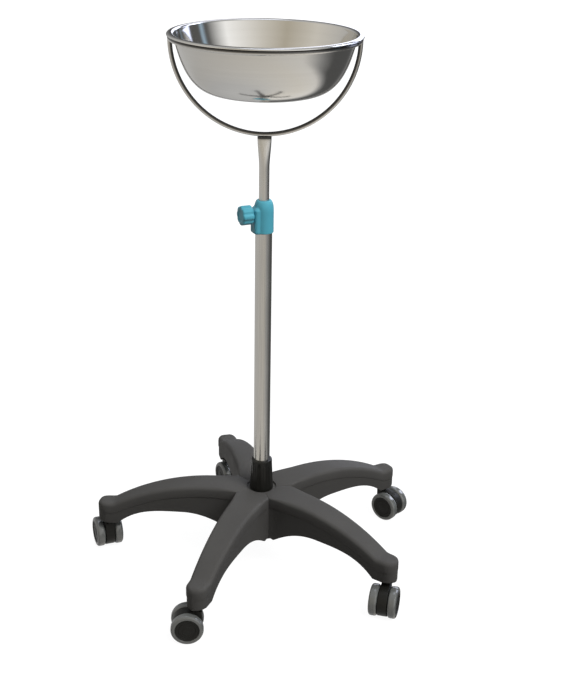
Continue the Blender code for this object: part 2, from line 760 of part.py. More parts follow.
def add_base_fixings():
    """The plug in the column's foot, with the bolt and washer that draw it down into the hub."""
    plug_radius = outer_bore - SEAT_GAP
    hole = BOLT_DIAMETER / 2 + SEAT_GAP
    plug = tube("foot_plug", plug_radius, hole, outer_foot, outer_foot + PLUG_HEIGHT)
    add_part(plug, "foot_plug", ZINC_STEEL, stand)
    washer_top = hub_foot - SEAT_GAP
    washer_foot = washer_top - WASHER_THICKNESS
    washer = tube("base_washer", WASHER_DIAMETER / 2, hole, washer_foot, washer_top)
    add_part(washer, "base_washer", ZINC_STEEL, stand)
    head_top = washer_foot - SEAT_GAP
    head = BOLT_HEAD_WIDTH / math.sqrt(3.0)
    bolt = pin("base_bolt", head, head_top - BOLT_HEAD_HEIGHT, head_top, HEX_SIDES)
    shank = pin("bolt_shank", BOLT_DIAMETER / 2, head_top - BOLT_HEAD_HEIGHT / 2, outer_foot + BOLT_GRIP)
    join(bolt, add_helper(shank))
    add_part(bolt, "base_bolt", ZINC_STEEL, stand)


def add_outer_tube():
    lower = tube("outer_tube", outer_radius, outer_bore, outer_foot, outer_top)
    add_part(lower, "outer_tube", TUBE_STEEL, stand)


def add_guide_bush():
    """The bush in the mouth of the lower tube, with a flange that rests on the tube's end."""
    bore = inner_radius + RUNNING_GAP
    body = outer_bore - SEAT_GAP
    flange_foot = outer_top + SEAT_GAP
    flange_top = flange_foot + BUSH_FLANGE
    profile = [(bore, flange_top), (outer_radius, flange_top), (outer_radius, flange_foot)]
    profile += [(body, flange_foot), (body, outer_top - BUSH_LENGTH), (bore, outer_top - BUSH_LENGTH)]
    add_part(turned("guide_bush", profile, TUBE_SEGMENTS, closed=True), "guide_bush", WHITE_NYLON, stand)


def add_lower_guide(slider):
    """The guide that runs in the lower tube, with a spigot in the inner tube's foot."""
    body = outer_bore - RUNNING_GAP
    spigot = inner_bore - SEAT_GAP
    top = inner_foot - SEAT_GAP
    foot = top - GUIDE_HEIGHT
    profile = [(0.0, inner_foot + GUIDE_SPIGOT), (spigot, inner_foot + GUIDE_SPIGOT), (spigot, top)]
    profile += [(body, top), (body, foot), (0.0, foot)]
    add_part(turned("lower_guide", profile, TUBE_SEGMENTS), "lower_guide", WHITE_NYLON, slider)


def flat_half_depth(half_width):
    """Half depth of the tube where it is pressed to a half width, with its girth about kept."""
    return math.sqrt(2 * inner_radius**2 - half_width**2)


def add_inner_tube(mast):
    """The upper tube: round, then pressed flat toward its top end, which is shaped to the hoop."""
    flat_start = inner_top - FLAT_LENGTH
    stations = [(inner_foot, 0.0), (flat_start, 0.0)]
    for share in spread(0.0, 1.0, FLAT_STATIONS)[1:]:
        stations.append((flat_start + share * FLAT_LENGTH, share * share * (3 - 2 * share)))
    rings = []
    for wall in (0.0, TUBE_WALL):
        skin = []
        for height, press in stations:
            half_width = inner_radius + press * (FLAT_WIDTH / 2 - inner_radius)
            half_depth = flat_half_depth(half_width)
            ring = []
            for x, y in circle((0.0, 0.0), 1.0, TUBE_SEGMENTS):
                across = x * (half_width - wall)
                saddle = press * (ring_radius - math.sqrt(ring_radius**2 - across**2))
                ring.append((across, y * (half_depth - wall), height + saddle))
            skin.append(ring)
        rings += skin if wall == 0.0 else skin[::-1]
    add_part(loft("inner_tube", rings, closed=True), "inner_tube", TUBE_STEEL, mast)


def add_yoke_hoop(mast):
    """The half-round rod that carries the ring, from one end of its width to the other."""
    curve = bpy.data.curves.new("yoke_hoop", "CURVE")
    curve.dimensions = "3D"
    curve.bevel_depth = rod_radius
    curve.bevel_resolution = (ROD_SIDES - 4) // 2
    curve.use_fill_caps = True
    points = arc((0.0, hoop_height), ring_radius, 180.0, 360.0, HOOP_STEPS)
    spline = curve.splines.new("POLY")
    spline.points.add(len(points) - 1)
    for point, (across, height) in zip(spline.points, points):
        point.co = (across, 0.0, height, 1.0)
    add_part(bpy.data.objects.new("yoke_hoop", curve), "yoke_hoop", ROD_STEEL, mast)


def add_support_ring(mast):
    section = circle((ring_radius, ring_height), rod_radius, ROD_SIDES)[::-1]
    ring = turned("support_ring", section, BOWL_SEGMENTS, closed=True)
    add_part(ring, "support_ring", ROD_STEEL, mast)


def add_bowl(mast):
    """The bowl: one wall from its floor up to a lip that rests on the ring."""
    floor = lip_top - BOWL_DEPTH
    heel = BOWL_FLOOR_DIAMETER / 2
    rim = ring_radius - rod_radius - BOWL_RING_CLEARANCE
    side = bezier(
        (rim, lip_foot),
        (rim - BOWL_WALL_LEAN, lip_foot - BOWL_BELLY),
        (heel + BOWL_HEEL, floor),
        (heel, floor),
        BOWL_STEPS,
    )
    inside = []
    for before, here, after in zip(side, side[1:], side[2:]):
        along = (Vector(after) - Vector(before)).normalized()
        inside.append((here[0] + along.y * BOWL_WALL, here[1] - along.x * BOWL_WALL))
    edge = LIP_THICKNESS / 2
    lip_radius = RING_DIAMETER / 2 + LIP_OVERHANG - edge
    roll = arc((lip_radius, lip_foot + edge), edge, 90.0, -90.0, LIP_STEPS)
    throat = (rim - BOWL_WALL, lip_top - edge)
    inner = [(0.0, floor + BOWL_WALL), (heel, floor + BOWL_WALL), *inside[::-1], throat, (rim, lip_top)]
    profile = inner + roll + side + [(0.0, floor)]
    add_part(turned("bowl", profile, BOWL_SEGMENTS), "bowl", POLISHED_STEEL, mast)


def clamp_turn():
    """Rotation that lays a turned piece's axis along the clamp screw, pointing out to the knob."""
    return (0.0, math.radians(90.0), math.radians(CLAMP_ANGLE))


def add_clamp_collar():
    """The collar: a round body with sloping shoulders, and a boss on the side of the knob."""
    top_radius = inner_radius + RUNNING_GAP + COLLAR_TOP_WALL
    shoulder = collar_top - COLLAR_SHOULDER_HEIGHT
    slope = bezier(
        (top_radius, collar_top),
        ((top_radius + collar_radius) / 2, collar_top - COLLAR_EDGE),
        (collar_radius, shoulder + COLLAR_SHOULDER_HEIGHT / 2),
        (collar_radius, shoulder),
        COLLAR_STEPS,
    )
    foot = arc((collar_radius - COLLAR_EDGE, collar_foot + COLLAR_EDGE), COLLAR_EDGE, 0.0, -90.0, ARC_STEPS)
    collar = turned("clamp_collar", [(0.0, collar_top), *slope, *foot, (0.0, collar_foot)], TUBE_SEGMENTS)
    half = COLLAR_BOSS_WIDTH / 2
    corner = collar_face - COLLAR_BOSS_ROUND
    edge = half - COLLAR_BOSS_ROUND
    outline = [(0.0, -half)]
    outline += arc((corner, -edge), COLLAR_BOSS_ROUND, -90.0, 0.0, ARC_STEPS)
    outline += arc((corner, edge), COLLAR_BOSS_ROUND, 0.0, 90.0, ARC_STEPS)
    outline += [(0.0, half)]
    boss_levels = (
        (collar_foot + SEAT_GAP, COLLAR_EDGE),
        (collar_foot + SEAT_GAP + COLLAR_EDGE, 0.0),
        (collar_foot + COLLAR_BOSS_HEIGHT - COLLAR_BOSS_STAND, 0.0),
        (collar_foot + COLLAR_BOSS_HEIGHT, COLLAR_BOSS_STAND),
    )
    rings = []
    for height, inset in boss_levels:
        share = 1.0 - inset / collar_face
        rings.append([(x * share, y * share, height) for x, y in outline])
    around = (0.0, 0.0, math.radians(CLAMP_ANGLE))
    join(collar, add_helper(loft("collar_boss", rings), rotation=around))
    above = collar_top + OVERCUT
    throat = pin("collar_throat", inner_radius + RUNNING_GAP, collar_foot, above, TUBE_SEGMENTS)
    mouth_top = outer_top + BUSH_FLANGE + 2 * SEAT_GAP
    mouth = pin("collar_mouth", outer_radius + SEAT_GAP, collar_foot - OVERCUT, mouth_top, TUBE_SEGMENTS)
    outside = collar_face + OVERCUT
    pad_bore = pin("pad_bore", screw_radius + RUNNING_GAP, 0.0, outside)
    insert_foot = collar_face - INSERT_LENGTH - SEAT_GAP
    insert_bore = pin("insert_bore", insert_radius + SEAT_GAP, insert_foot, outside, TUBE_SEGMENTS)
    at_clamp = (0.0, 0.0, clamp_height)
    for cutter in (throat, mouth):
        cut(collar, add_helper(cutter))
    for cutter in (pad_bore, insert_bore):
        cut(collar, add_helper(cutter, at_clamp, clamp_turn()))
    add_part(collar, "clamp_collar", TEAL_PLASTIC, stand)


def add_clamp_pieces():
    """The insert in the collar, and the pad, screw and knob that move along the clamp's axis."""
    at_clamp = (0.0, 0.0, clamp_height)
    axis = add_empty("clamp_axis", stand, at_clamp, clamp_turn())
    screw_bore = screw_radius + RUNNING_GAP
    insert_foot = collar_face - INSERT_LENGTH
    insert = tube("thread_insert", insert_radius, screw_bore, insert_foot, collar_face, PIN_SEGMENTS)
    add_part(insert, "thread_insert", BRASS, axis)
    pad = pin("thrust_pad", pad_radius, inner_radius / 2, pad_end)
    column = pin("pad_hollow", inner_radius + SEAT_GAP, -OVERCUT, OVERCUT, TUBE_SEGMENTS)
    cut(pad, add_helper(column, at_clamp))
    add_part(pad, "thrust_pad", WHITE_NYLON, axis)
    screw_end = knob_face + SCREW_IN_KNOB
    screw = pin("clamp_screw", screw_radius, pad_end + SEAT_GAP, screw_end)
    add_part(screw, "clamp_screw", ZINC_STEEL, axis)
    add_part(knob_form(screw_end + SEAT_GAP), "knob", TEAL_PLASTIC, axis)


def knob_form(bore_end):
    """A knob with shallow lobes and round edges, on a hub that stands off the collar."""
    start = knob_face + KNOB_HUB_LENGTH
    end = knob_face + KNOB_HUB_LENGTH + KNOB_THICKNESS
    levels = ((start, KNOB_EDGE), (start + KNOB_EDGE, 0.0), (end - KNOB_EDGE, 0.0), (end, KNOB_EDGE))
    count = KNOB_LOBE_FACETS * KNOB_LOBES
    rings = []
    for height, inset in levels:
        ring = []
        for index in range(count):
            angle = 2 * math.pi * index / count
            valley = (0.5 - 0.5 * math.cos(KNOB_LOBES * angle)) ** 2
            radius = KNOB_DIAMETER / 2 - inset - KNOB_LOBE_DEPTH * valley
            ring.append((radius * math.cos(angle), radius * math.sin(angle), height))
        rings.append(ring)
    knob = loft("knob", rings)
    hub = pin("knob_hub", KNOB_HUB_DIAMETER / 2, knob_face, start + KNOB_EDGE, BOSS_SEGMENTS)
    bore = pin("knob_bore", screw_radius + SEAT_GAP, knob_face - OVERCUT, bore_end)
    at_clamp = (0.0, 0.0, clamp_height)
    join(knob, add_helper(hub, at_clamp, clamp_turn()))
    return cut(knob, add_helper(bore, at_clamp, clamp_turn()))


stand = add_empty("stand")
slider_axis = add_empty("mast_slider_axis", stand)
mast_axis = add_empty("mast_axis", slider_axis)
add_star_base()
add_castors()
add_column_sleeve()
add_base_fixings()
add_outer_tube()
add_guide_bush()
add_lower_guide(slider_axis)
add_inner_tube(mast_axis)
add_yoke_hoop(mast_axis)
add_support_ring(mast_axis)
add_bowl(mast_axis)
add_clamp_collar()
add_clamp_pieces()
bpy.context.view_layer.update()
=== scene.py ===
"""Basin stand: the looks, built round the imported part.

Lengths are metres and angles degrees. The sizes at the top repeat the part's own.
"""

from math import asin, cos, degrees, pi, radians, sin, sqrt, tan

import bmesh
import bpy
from mathutils import Matrix, Vector


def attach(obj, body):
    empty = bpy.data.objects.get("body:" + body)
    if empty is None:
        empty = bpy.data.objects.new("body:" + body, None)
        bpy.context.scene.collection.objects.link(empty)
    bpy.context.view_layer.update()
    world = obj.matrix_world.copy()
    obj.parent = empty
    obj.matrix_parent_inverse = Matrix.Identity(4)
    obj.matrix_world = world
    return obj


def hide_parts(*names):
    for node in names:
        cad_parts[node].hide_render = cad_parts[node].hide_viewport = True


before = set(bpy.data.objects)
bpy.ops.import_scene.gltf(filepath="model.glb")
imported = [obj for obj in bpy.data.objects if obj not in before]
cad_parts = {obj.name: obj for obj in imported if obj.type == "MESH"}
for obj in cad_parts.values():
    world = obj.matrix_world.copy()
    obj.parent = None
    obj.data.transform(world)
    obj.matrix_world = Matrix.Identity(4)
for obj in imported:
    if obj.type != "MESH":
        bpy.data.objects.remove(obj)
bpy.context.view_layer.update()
scene = bpy.context.scene

# Castors
WHEEL_DIAMETER = 0.058
WHEEL_WIDTH = 0.0155
WHEEL_DISH = 0.0012
WHEEL_EDGE = 0.0003
WHEEL_RIM = 0.0009
WHEEL_CAP_SHARE = 0.36
WHEEL_GROOVE_SHARE = 0.70
WHEEL_GROOVE_DEPTH = WHEEL_DISH * 0.45
# Shares of the cap's radius and of the groove's depth, from the cap's edge to its middle
WHEEL_DOME = ((1.0, 1.0), (0.8, 1.4), (0.0, 1.6))
TYRE_DEPTH = 0.0078
TYRE_SHOULDER = 0.0048
TYRE_BREAK = 0.0006
TYRE_FACET_DROP = 0.00046
HOOD_WIDTH = 0.0175
HOOD_DIAMETER = 0.054
HOOD_EDGE = 0.0012
AXLE_DIAMETER = 0.006
AXLE_GRIP = 0.010
CASTOR_TRAIL = 0.0178
HOOD_WALL = 0.0015
HOOD_BACK_ANGLE = 100.0
HOOD_FRONT_ANGLE = 380.0
NECK_DIAMETER = 0.0155
NECK_COLLAR_HEIGHT = 0.006
NECK_EDGE = 0.0008
STEM_DIAMETER = 0.010
STEM_EDGE = 0.0004
STEM_FLANGE_DIAMETER = 0.015
STEM_FLANGE_THICKNESS = 0.002
STEM_REACH_UP = 0.033
STEM_REACH_DOWN = 0.018
CASTOR_YAW = {"right_back": 140.0, "back": 116.0, "left": -70.0, "front": 2.0, "right_front": 74.0}

# Star base
FIRST_LEG_ANGLE = 32.4
STEM_CIRCLE_RADIUS = 0.2929
BOSS_WHEEL_CLEARANCE = 0.0069
BOSS_DIAMETER = 0.0384
BOSS_HEIGHT = 0.0418
BOSS_TOP_ROUND = 0.009
BOSS_FOOT_ROUND = 0.004
BOSS_END_ANGLE = 84.0
LEG_CROWN_RISE = 0.0889
LEG_CROWN_REACH = 0.100
LEG_END_DROP = 0.0551
LEG_CROWN_WIDTH = 0.0553
LEG_FLARE = 0.008
LEG_ROUND = 0.007
CORNER_ROUND = 0.0022
CORNER_BLEND = 0.045
CORNER_POWER = 3.0
LEG_FOOT_ROUND = 0.0012
LEG_LIP_HEIGHT = 0.021
LEG_LIP_STEP = 0.0020
LEG_LIP_END_STEP = 0.0010
LEG_LIP_SOFTEN = 0.0016
LEG_LIP_BLEND = CORNER_BLEND / 4
LEG_WALL = 0.0035
LEG_ROOF = 0.0042
RIB_THICKNESS = 0.0026
LEG_BAYS = 4
EDGE_SHARE = 0.33
ARCH_RISE = 0.0325
ARCH_CROWN_REACH = 0.148
ARCH_POWER = 3.6
HUB_FOOT_RISE = -0.0031
HUB_DIAMETER = 0.106
HUB_DIP = 0.0105
HUB_SEAT_DIAMETER = 0.056
HUB_SEAT_DEPTH = 0.0030
HUB_TUBE_WALL = 0.0065
HUB_FLOOR = 0.0217
HUB_ROOF = 0.006
HUB_NOTCH_RADIUS = 0.012
HUB_NOTCH_DEPTH = 0.0045
BOLT_DIAMETER = 0.008

# Column
OUTER_TUBE_DIAMETER = 0.030
OUTER_TUBE_LENGTH = 0.588
INNER_TUBE_DIAMETER = 0.018
INNER_TUBE_SHOW = 0.1461
PLUG_HEIGHT = 0.025
GUIDE_HEIGHT = 0.010
GUIDE_DROP = 0.0561
TUBE_WALL = 0.0012
TUBE_EDGE = 0.0003
FLAT_WIDTH = 0.0242
FLAT_LENGTH = 0.055
SLEEVE_HEIGHT = 0.061
SLEEVE_TOP_WALL = 0.0042
SLEEVE_FOOT_WALL = 0.0068
SLEEVE_LIP = 0.0016
FLUTE_DEPTH = 0.0007
FLUTE_COUNT = 14
FLUTE_RUN_OUT = 0.012
BUSH_FLANGE = 0.002

# Clamp
CLAMP_ANGLE = 204.0
COLLAR_HEIGHT = 0.0578
COLLAR_WALL = 0.0020
COLLAR_SOCKET_DEPTH = 0.022
COLLAR_SHOULDER_HEIGHT = 0.0185
COLLAR_TOP_WALL = 0.0028
COLLAR_EDGE = 0.0015
COLLAR_BOSS_STAND = 0.0042
COLLAR_BOSS_WIDTH = 0.025
COLLAR_BOSS_ROUND = 0.006
COLLAR_BOSS_HEIGHT = 0.046
COLLAR_BOSS_TAPER = 4.0
COLLAR_BOSS_BACK_COSINE = -0.1
COLLAR_FILLET = 0.0010
CLAMP_RISE = 0.0338
SCREW_DIAMETER = 0.008
SCREW_IN_KNOB = 0.012
INSERT_DIAMETER = 0.013
INSERT_LENGTH = 0.0064
KNOB_DIAMETER = 0.0345
KNOB_THICKNESS = 0.0205
KNOB_EDGE = 0.0030
KNOB_LOBES = 8
KNOB_LOBE_DEPTH = 0.0016
KNOB_HUB_DIAMETER = 0.018
KNOB_HUB_LENGTH = 0.0014
KNOB_HUB_EDGE = 0.0004
KNOB_STANDOFF = 0.0012
KNOB_FACE_DISH = 0.0008
KNOB_FACE_SHARE = 0.62

# Bowl and its carrier
RING_DIAMETER = 0.3224
ROD_DIAMETER = 0.008
BOWL_DEPTH = 0.0986
BOWL_FLOOR_DIAMETER = 0.159
BOWL_WALL = 0.0010
BOWL_WALL_LEAN = 0.011
BOWL_BELLY = 0.052
BOWL_HEEL = 0.043
BOWL_RING_CLEARANCE = 0.0012
LIP_OVERHANG = 0.0015
LIP_THICKNESS = 0.0036
# Length of the painted shadow under the hoop, down the upper tube from its welded end
WELD_SHADOW_LENGTH = 0.0075

# Gaps of the part, and lengths that only serve the modelling
SEAT_GAP = 0.0003
RUNNING_GAP = 0.0004
WHEEL_SIDE_GAP = 0.0007
OVERCUT = 0.010
WELD_DISTANCE = 0.000001
LEAST_ROUND = 0.00008
CORNER_TRIES = 40

# Facets
ROUND_STEPS = 6
FOOT_STEPS = 3
EDGE_STATIONS = 5
LEG_STATIONS = 36
HUB_STATIONS = 12
BOSS_END_STEPS = 9
POCKET_STATIONS = 4
WHEEL_SEGMENTS = 72
SOFT_STEPS = 8
HOOD_STEPS = 56
NECK_SEGMENTS = 48
PIN_SEGMENTS = 32
TUBE_SEGMENTS = 72
FLAT_STATIONS = 22
SLEEVE_STATIONS = 26
FLUTE_SIDES = 12
COLLAR_SIDES = 160
COLLAR_STATIONS = (5, 14, 22)
SHOULDER_STEPS = 40
LOBE_SIDES = 16
ROD_SIDES = 20
HOOP_STEPS = 120
RING_STEPS = 180
BOWL_SEGMENTS = 144
BOWL_SIDE_STEPS = 36
BOWL_FLOOR_SHARES = (0.0, 0.5, 0.9, 1.0)
LIP_STEPS = 28

# Edges sharper than these angles stay sharp
SMOOTH_ANGLE = 32.0
WHEEL_SMOOTH_ANGLE = 24.0
LEG_SMOOTH_ANGLE = 26.0
COLLAR_SMOOTH_ANGLE = 38.0
LOBE_SMOOTH_ANGLE = 40.0
BOWL_SMOOTH_ANGLE = 50.0

# Surfaces: sizes of noise are per metre, and UNEVEN pairs are how far gloss strays to either side
WHITE = (1.0, 1.0, 1.0, 1.0)
USUAL_SPECULAR = 0.5
NOISE_DETAIL = 3.0
NOISE_ROUGHNESS = 0.55
NOISE_SPAN = (0.3, 0.7)
CLOUD_DETAIL = 4.0
GRAIN_DETAIL = 2.0
GRAIN_ROUGHNESS = 0.6
GRAIN_SHARE = 0.45
GRAIN_RELIEF = 0.0004
PLASTIC_MOTTLE = 14.0
PLASTIC_SPAN = (0.32, 0.68)
PLASTIC_UNEVEN = (-0.05, 0.06)
DRAWN_MOTTLE = 22.0
DRAWN_UNEVEN = (-0.04, 0.05)
DRAWN_BUMP = 0.035
SPUN_MOTTLE = 16.0
SPUN_UNEVEN = (-0.02, 0.03)
SPUN_BUMP = 0.012
SPUN_FINE_RINGS = 1400.0
SPUN_WIDE_RINGS = 130.0
SPUN_ROUGHNESS = 0.65
STEEL_RELIEF = 0.0002
TUBE_GRAIN = (900.0, 900.0, 9.0)
ROD_GRAIN = (260.0, 260.0, 260.0)
ZINC_GRAIN = (700.0, 700.0, 60.0)
BRASS_GRAIN = (600.0, 600.0, 600.0)
TUBE_COLOURS = ((0.56, 0.55, 0.525), (0.65, 0.64, 0.615))
ROD_COLOURS = ((0.60, 0.59, 0.57), (0.70, 0.685, 0.66))
# Tones of the painted shade on drawn steel, from full shade at nothing to none at one
PAINTED_SHADE_STOPS = (
    (0.00, 0.14),
    (0.40, 0.11),
    (0.62, (0.85, 0.84, 0.82)),
    (1.00, 1.00),
)

# Camera, fitted to the photograph's frame of 588 x 682 pixels
CAMERA_PLACE = (0.0, -2.0983, 1.3093)
CAMERA_YAW = 1.541
CAMERA_PITCH = 22.391
CAMERA_ROLL = 1.113
CAMERA_FOCAL_PIXELS = 1258.0
CAMERA_SENSOR = 36.0
FRAME_LONG_SIDE = 682.0

# Floor
FLOOR_SIZE = 60.0
FLOOR_MOTTLE = 3.0
FLOOR_TONES = ((0.3, 0.10), (0.7, 0.12))
FLOOR_ROUGHNESS = 0.9
FLOOR_GLOW = 0.93

# A room of soft walls, whose tones run round from the back, by the left, the front and the right
WALL_TONES = (
    (0.00, 0.05),
    (0.10, 0.55),
    (0.30, (0.84, 0.80, 0.73)),
    (0.42, (0.60, 0.55, 0.45)),
    (0.51, (0.84, 0.80, 0.73)),
    (0.65, 1.30),
    (0.73, 0.15),
    (1.00, 0.05),
)
LOW_TONES = (
    (0.00, 0.60),
    (0.53, (0.60, 0.57, 0.52)),
    (0.64, 0.35),
    (0.78, 0.10),
    (0.90, 0.10),
    (1.00, 0.60),
)
DEEP_TONES = (
    (0.00, 0.50),
    (0.45, (0.70, 0.67, 0.62)),
    (0.65, (0.80, 0.78, 0.75)),
    (0.74, 0.30),
    (0.80, 0.10),
    (0.93, 0.10),
    (1.00, 0.50),
)
CEILING_COLOUR = (0.60, 0.60, 0.60, 1.0)

# Heights run from -1, straight down, to 1, straight up; over each pair one set of tones passes into the next
DEEP_TOP = (-0.52, -0.42)
WALL_FOOT = (-0.16, 0.0)
WALL_TOP = (0.62, 0.80)

# Further down than TWIST_START the deep tones lag round the room and grow lighter
TWIST_START = 0.60
TWIST = 1.05
DEEP_GAIN = 0.95

# Each window: its colour, where it starts and ends round the room, and where it starts and ends up the wall
WINDOWS = (
    ((0.45, 0.60, 0.75, 1.0), ((0.740, 0.755), (0.757, 0.770)), (WALL_FOOT, WALL_TOP)),
    ((1.75, 1.90, 2.50, 1.0), ((0.816, 0.826), (0.860, 0.870)), (WALL_FOOT, WALL_TOP)),
    ((1.70, 1.75, 2.00, 1.0), ((0.950, 0.958), (0.992, 1.000)), (WALL_FOOT, WALL_TOP)),
    ((5.50, 5.80, 7.00, 1.0), ((0.800, 0.815), (0.870, 0.890)), ((0.46, 0.52), (0.68, 0.74))),
    ((3.50, 3.70, 4.40, 1.0), ((0.900, 0.910), (0.950, 0.960)), ((0.12, 0.18), (0.38, 0.44))),
)
LAMP_COLOUR = (1.9, 2.0, 2.3, 1.0)
LAMP_DIRECTION = (0.02, 0.24, 0.97)
LAMP_EDGE = (0.970, 0.983)

# How much of the room lights matt surfaces, which have the suns as well
FILL_SHARE = 0.20
# Each sun: its name, where it shines from, its power, how wide it is and its colour
SUNS = (
    ("key", (1.7, -1.5, 2.7), 3.4, 40.0, (1.0, 0.985, 0.965)),
    ("top", (0.0, 0.3, 3.0), 1.5, 120.0, (1.0, 1.0, 1.0)),
)

# Derived places
LEG_NAMES = tuple(CASTOR_YAW)
LEG_STEP = 360.0 / len(LEG_NAMES)
UP = Vector((0.0, 0.0, 1.0))
wheel_radius = WHEEL_DIAMETER / 2
boss_radius = BOSS_DIAMETER / 2
boss_start = STEM_CIRCLE_RADIUS - boss_radius
half_sector = tan(radians(LEG_STEP / 2))
boss_foot = WHEEL_DIAMETER + BOSS_WHEEL_CLEARANCE
boss_top = boss_foot + BOSS_HEIGHT
hood_top = boss_foot - STEM_FLANGE_THICKNESS - 2 * SEAT_GAP
crown_height = boss_foot + LEG_CROWN_RISE
arch_height = boss_foot + ARCH_RISE
hub_foot = boss_foot + HUB_FOOT_RISE
hub_radius = HUB_DIAMETER / 2
hub_seat_radius = HUB_SEAT_DIAMETER / 2
outer_radius = OUTER_TUBE_DIAMETER / 2
outer_bore = outer_radius - TUBE_WALL
inner_radius = INNER_TUBE_DIAMETER / 2
outer_foot = hub_foot + HUB_FLOOR
outer_top = outer_foot + OUTER_TUBE_LENGTH
inner_top = outer_top + INNER_TUBE_SHOW
inner_foot = outer_foot + PLUG_HEIGHT + GUIDE_DROP + GUIDE_HEIGHT + SEAT_GAP
collar_foot = outer_top - COLLAR_SOCKET_DEPTH
collar_top = collar_foot + COLLAR_HEIGHT
collar_shoulder = COLLAR_HEIGHT - COLLAR_SHOULDER_HEIGHT
collar_radius = outer_radius + SEAT_GAP + COLLAR_WALL
collar_face = collar_radius + COLLAR_BOSS_STAND
clamp_height = collar_foot + CLAMP_RISE
screw_radius = SCREW_DIAMETER / 2
knob_face = collar_face + KNOB_STANDOFF
rod_radius = ROD_DIAMETER / 2
ring_radius = RING_DIAMETER / 2 - rod_radius
hoop_height = inner_top + SEAT_GAP + rod_radius + ring_radius
ring_height = hoop_height + SEAT_GAP + rod_radius
lip_foot = ring_height + rod_radius + SEAT_GAP
lip_top = lip_foot + LIP_THICKNESS


# Nodes
def fill(tree, node, inputs):
    """Links a node's inputs to sockets, or sets them to values."""
    for key, value in inputs.items():
        if isinstance(value, bpy.types.NodeSocket):
            tree.links.new(value, node.inputs[key])
        else:
            node.inputs[key].default_value = value


def shader_node(tree, kind, inputs=None, **settings):
    made = tree.nodes.new("ShaderNode" + kind)
    for key, value in settings.items():
        setattr(made, key, value)
    fill(tree, made, inputs or {})
    return made


def math_node(tree, operation, *values):
    return shader_node(tree, "Math", dict(enumerate(values)), operation=operation).outputs[0]


def vector_node(tree, operation, result, inputs):
    return shader_node(tree, "VectorMath", inputs, operation=operation).outputs[result]


def blend(tree, share, first, second, kind="MIX"):
    inputs = {0: share, 6: first, 7: second}
    return shader_node(tree, "Mix", inputs, data_type="RGBA", blend_type=kind).outputs[2]


def gained(tree, colour, gain):
    return vector_node(tree, "SCALE", "Vector", {0: colour, "Scale": gain})


def ramp(tree, fac, stops):
    """A colour ramp through (place, colour) stops, read at a value; a colour of one number is a grey."""
    made = shader_node(tree, "ValToRGB", {"Fac": fac})
    elements = made.color_ramp.elements
    while len(elements) < len(stops):
        elements.new(0.5)
    for element, (place, colour) in zip(elements, stops):
        element.position = place
        element.color = (*(colour if isinstance(colour, tuple) else (colour,) * 3), 1.0)
    return made.outputs["Color"]


def noise(tree, vector, scale, detail=NOISE_DETAIL, roughness=NOISE_ROUGHNESS):
    inputs = {"Vector": vector, "Scale": scale, "Detail": detail, "Roughness": roughness}
    return shader_node(tree, "TexNoise", inputs).outputs["Fac"]


def scaled(tree, value, low, high, from_low=NOISE_SPAN[0], from_high=NOISE_SPAN[1]):
    inputs = {"Value": value, "From Min": from_low, "From Max": from_high, "To Min": low, "To Max": high}
    return shader_node(tree, "MapRange", inputs, clamp=True).outputs["Result"]


def band(tree, value, rise, fall):
    """One between a rise and a fall, and nothing outside them."""
    risen = scaled(tree, value, 0.0, 1.0, *rise)
    return math_node(tree, "MULTIPLY", risen, scaled(tree, value, 1.0, 0.0, *fall))


def object_coordinates(tree):
    return shader_node(tree, "TexCoord").outputs["Object"]


def parts_of(tree, vector):
    return shader_node(tree, "SeparateXYZ", {"Vector": vector}).outputs


# Materials
def new_material(name, metallic, specular=USUAL_SPECULAR):
    material = bpy.data.materials.new(name)
    material.use_nodes = True
    tree = material.node_tree
    shader = tree.nodes["Principled BSDF"]
    fill(tree, shader, {"Metallic": metallic, "Specular IOR Level": specular})
    return material, tree, shader


def cover(tree, shader, colour, gloss, height, strength, distance):
    """Gives a shader its colour and roughness, and a relief from a height."""
    relief = {"Height": height, "Strength": strength, "Distance": distance}
    relief = shader_node(tree, "Bump", relief).outputs["Normal"]
    fill(tree, shader, {"Base Color": colour, "Roughness": gloss, "Normal": relief})


def plastic(name, dark, light, roughness, grain, grain_bump, specular=USUAL_SPECULAR):
    """A moulded plastic: slight mottling, a fine spark grain, and a little unevenness in its gloss."""
    material, tree, shader = new_material(name, 0.0, specular)
    place = object_coordinates(tree)
    cloud = noise(tree, place, PLASTIC_MOTTLE, CLOUD_DETAIL)
    fine = noise(tree, place, grain, GRAIN_DETAIL, GRAIN_ROUGHNESS)
    both = {0: GRAIN_SHARE, 2: cloud, 3: fine}
    both = shader_node(tree, "Mix", both, data_type="FLOAT").outputs[0]
    colour = ramp(tree, both, list(zip(PLASTIC_SPAN, (dark, light))))
    gloss = scaled(tree, cloud, *(roughness + stray for stray in PLASTIC_UNEVEN))
    cover(tree, shader, colour, gloss, fine, grain_bump, GRAIN_RELIEF)
    return material


def drawn_steel(name, dark, light, roughness, stretch, scale=None):
    """Bright drawn steel: polishing lines that run one way, and, where a mask is given, painted shade by the
    weld and on sides that are sheltered.
    """
    material, tree, shader = new_material(name, 1.0)
    place = object_coordinates(tree)
    run = shader_node(tree, "Mapping", {"Vector": place, "Scale": stretch}).outputs["Vector"]
    lines = noise(tree, run, 1.0, roughness=GRAIN_ROUGHNESS)
    cloud = noise(tree, place, DRAWN_MOTTLE, CLOUD_DETAIL)
    colour = ramp(tree, lines, list(zip(NOISE_SPAN, (dark, light))))
    # scale, where given, is a mask of painted shade that darkens the steel's colour
    if scale is not None:
        colour = blend(tree, 1.0, colour, ramp(tree, scale(tree, place), PAINTED_SHADE_STOPS), "MULTIPLY")
    gloss = scaled(tree, cloud, *(roughness + stray for stray in DRAWN_UNEVEN))
    cover(tree, shader, colour, gloss, lines, DRAWN_BUMP, STEEL_RELIEF)
    return material


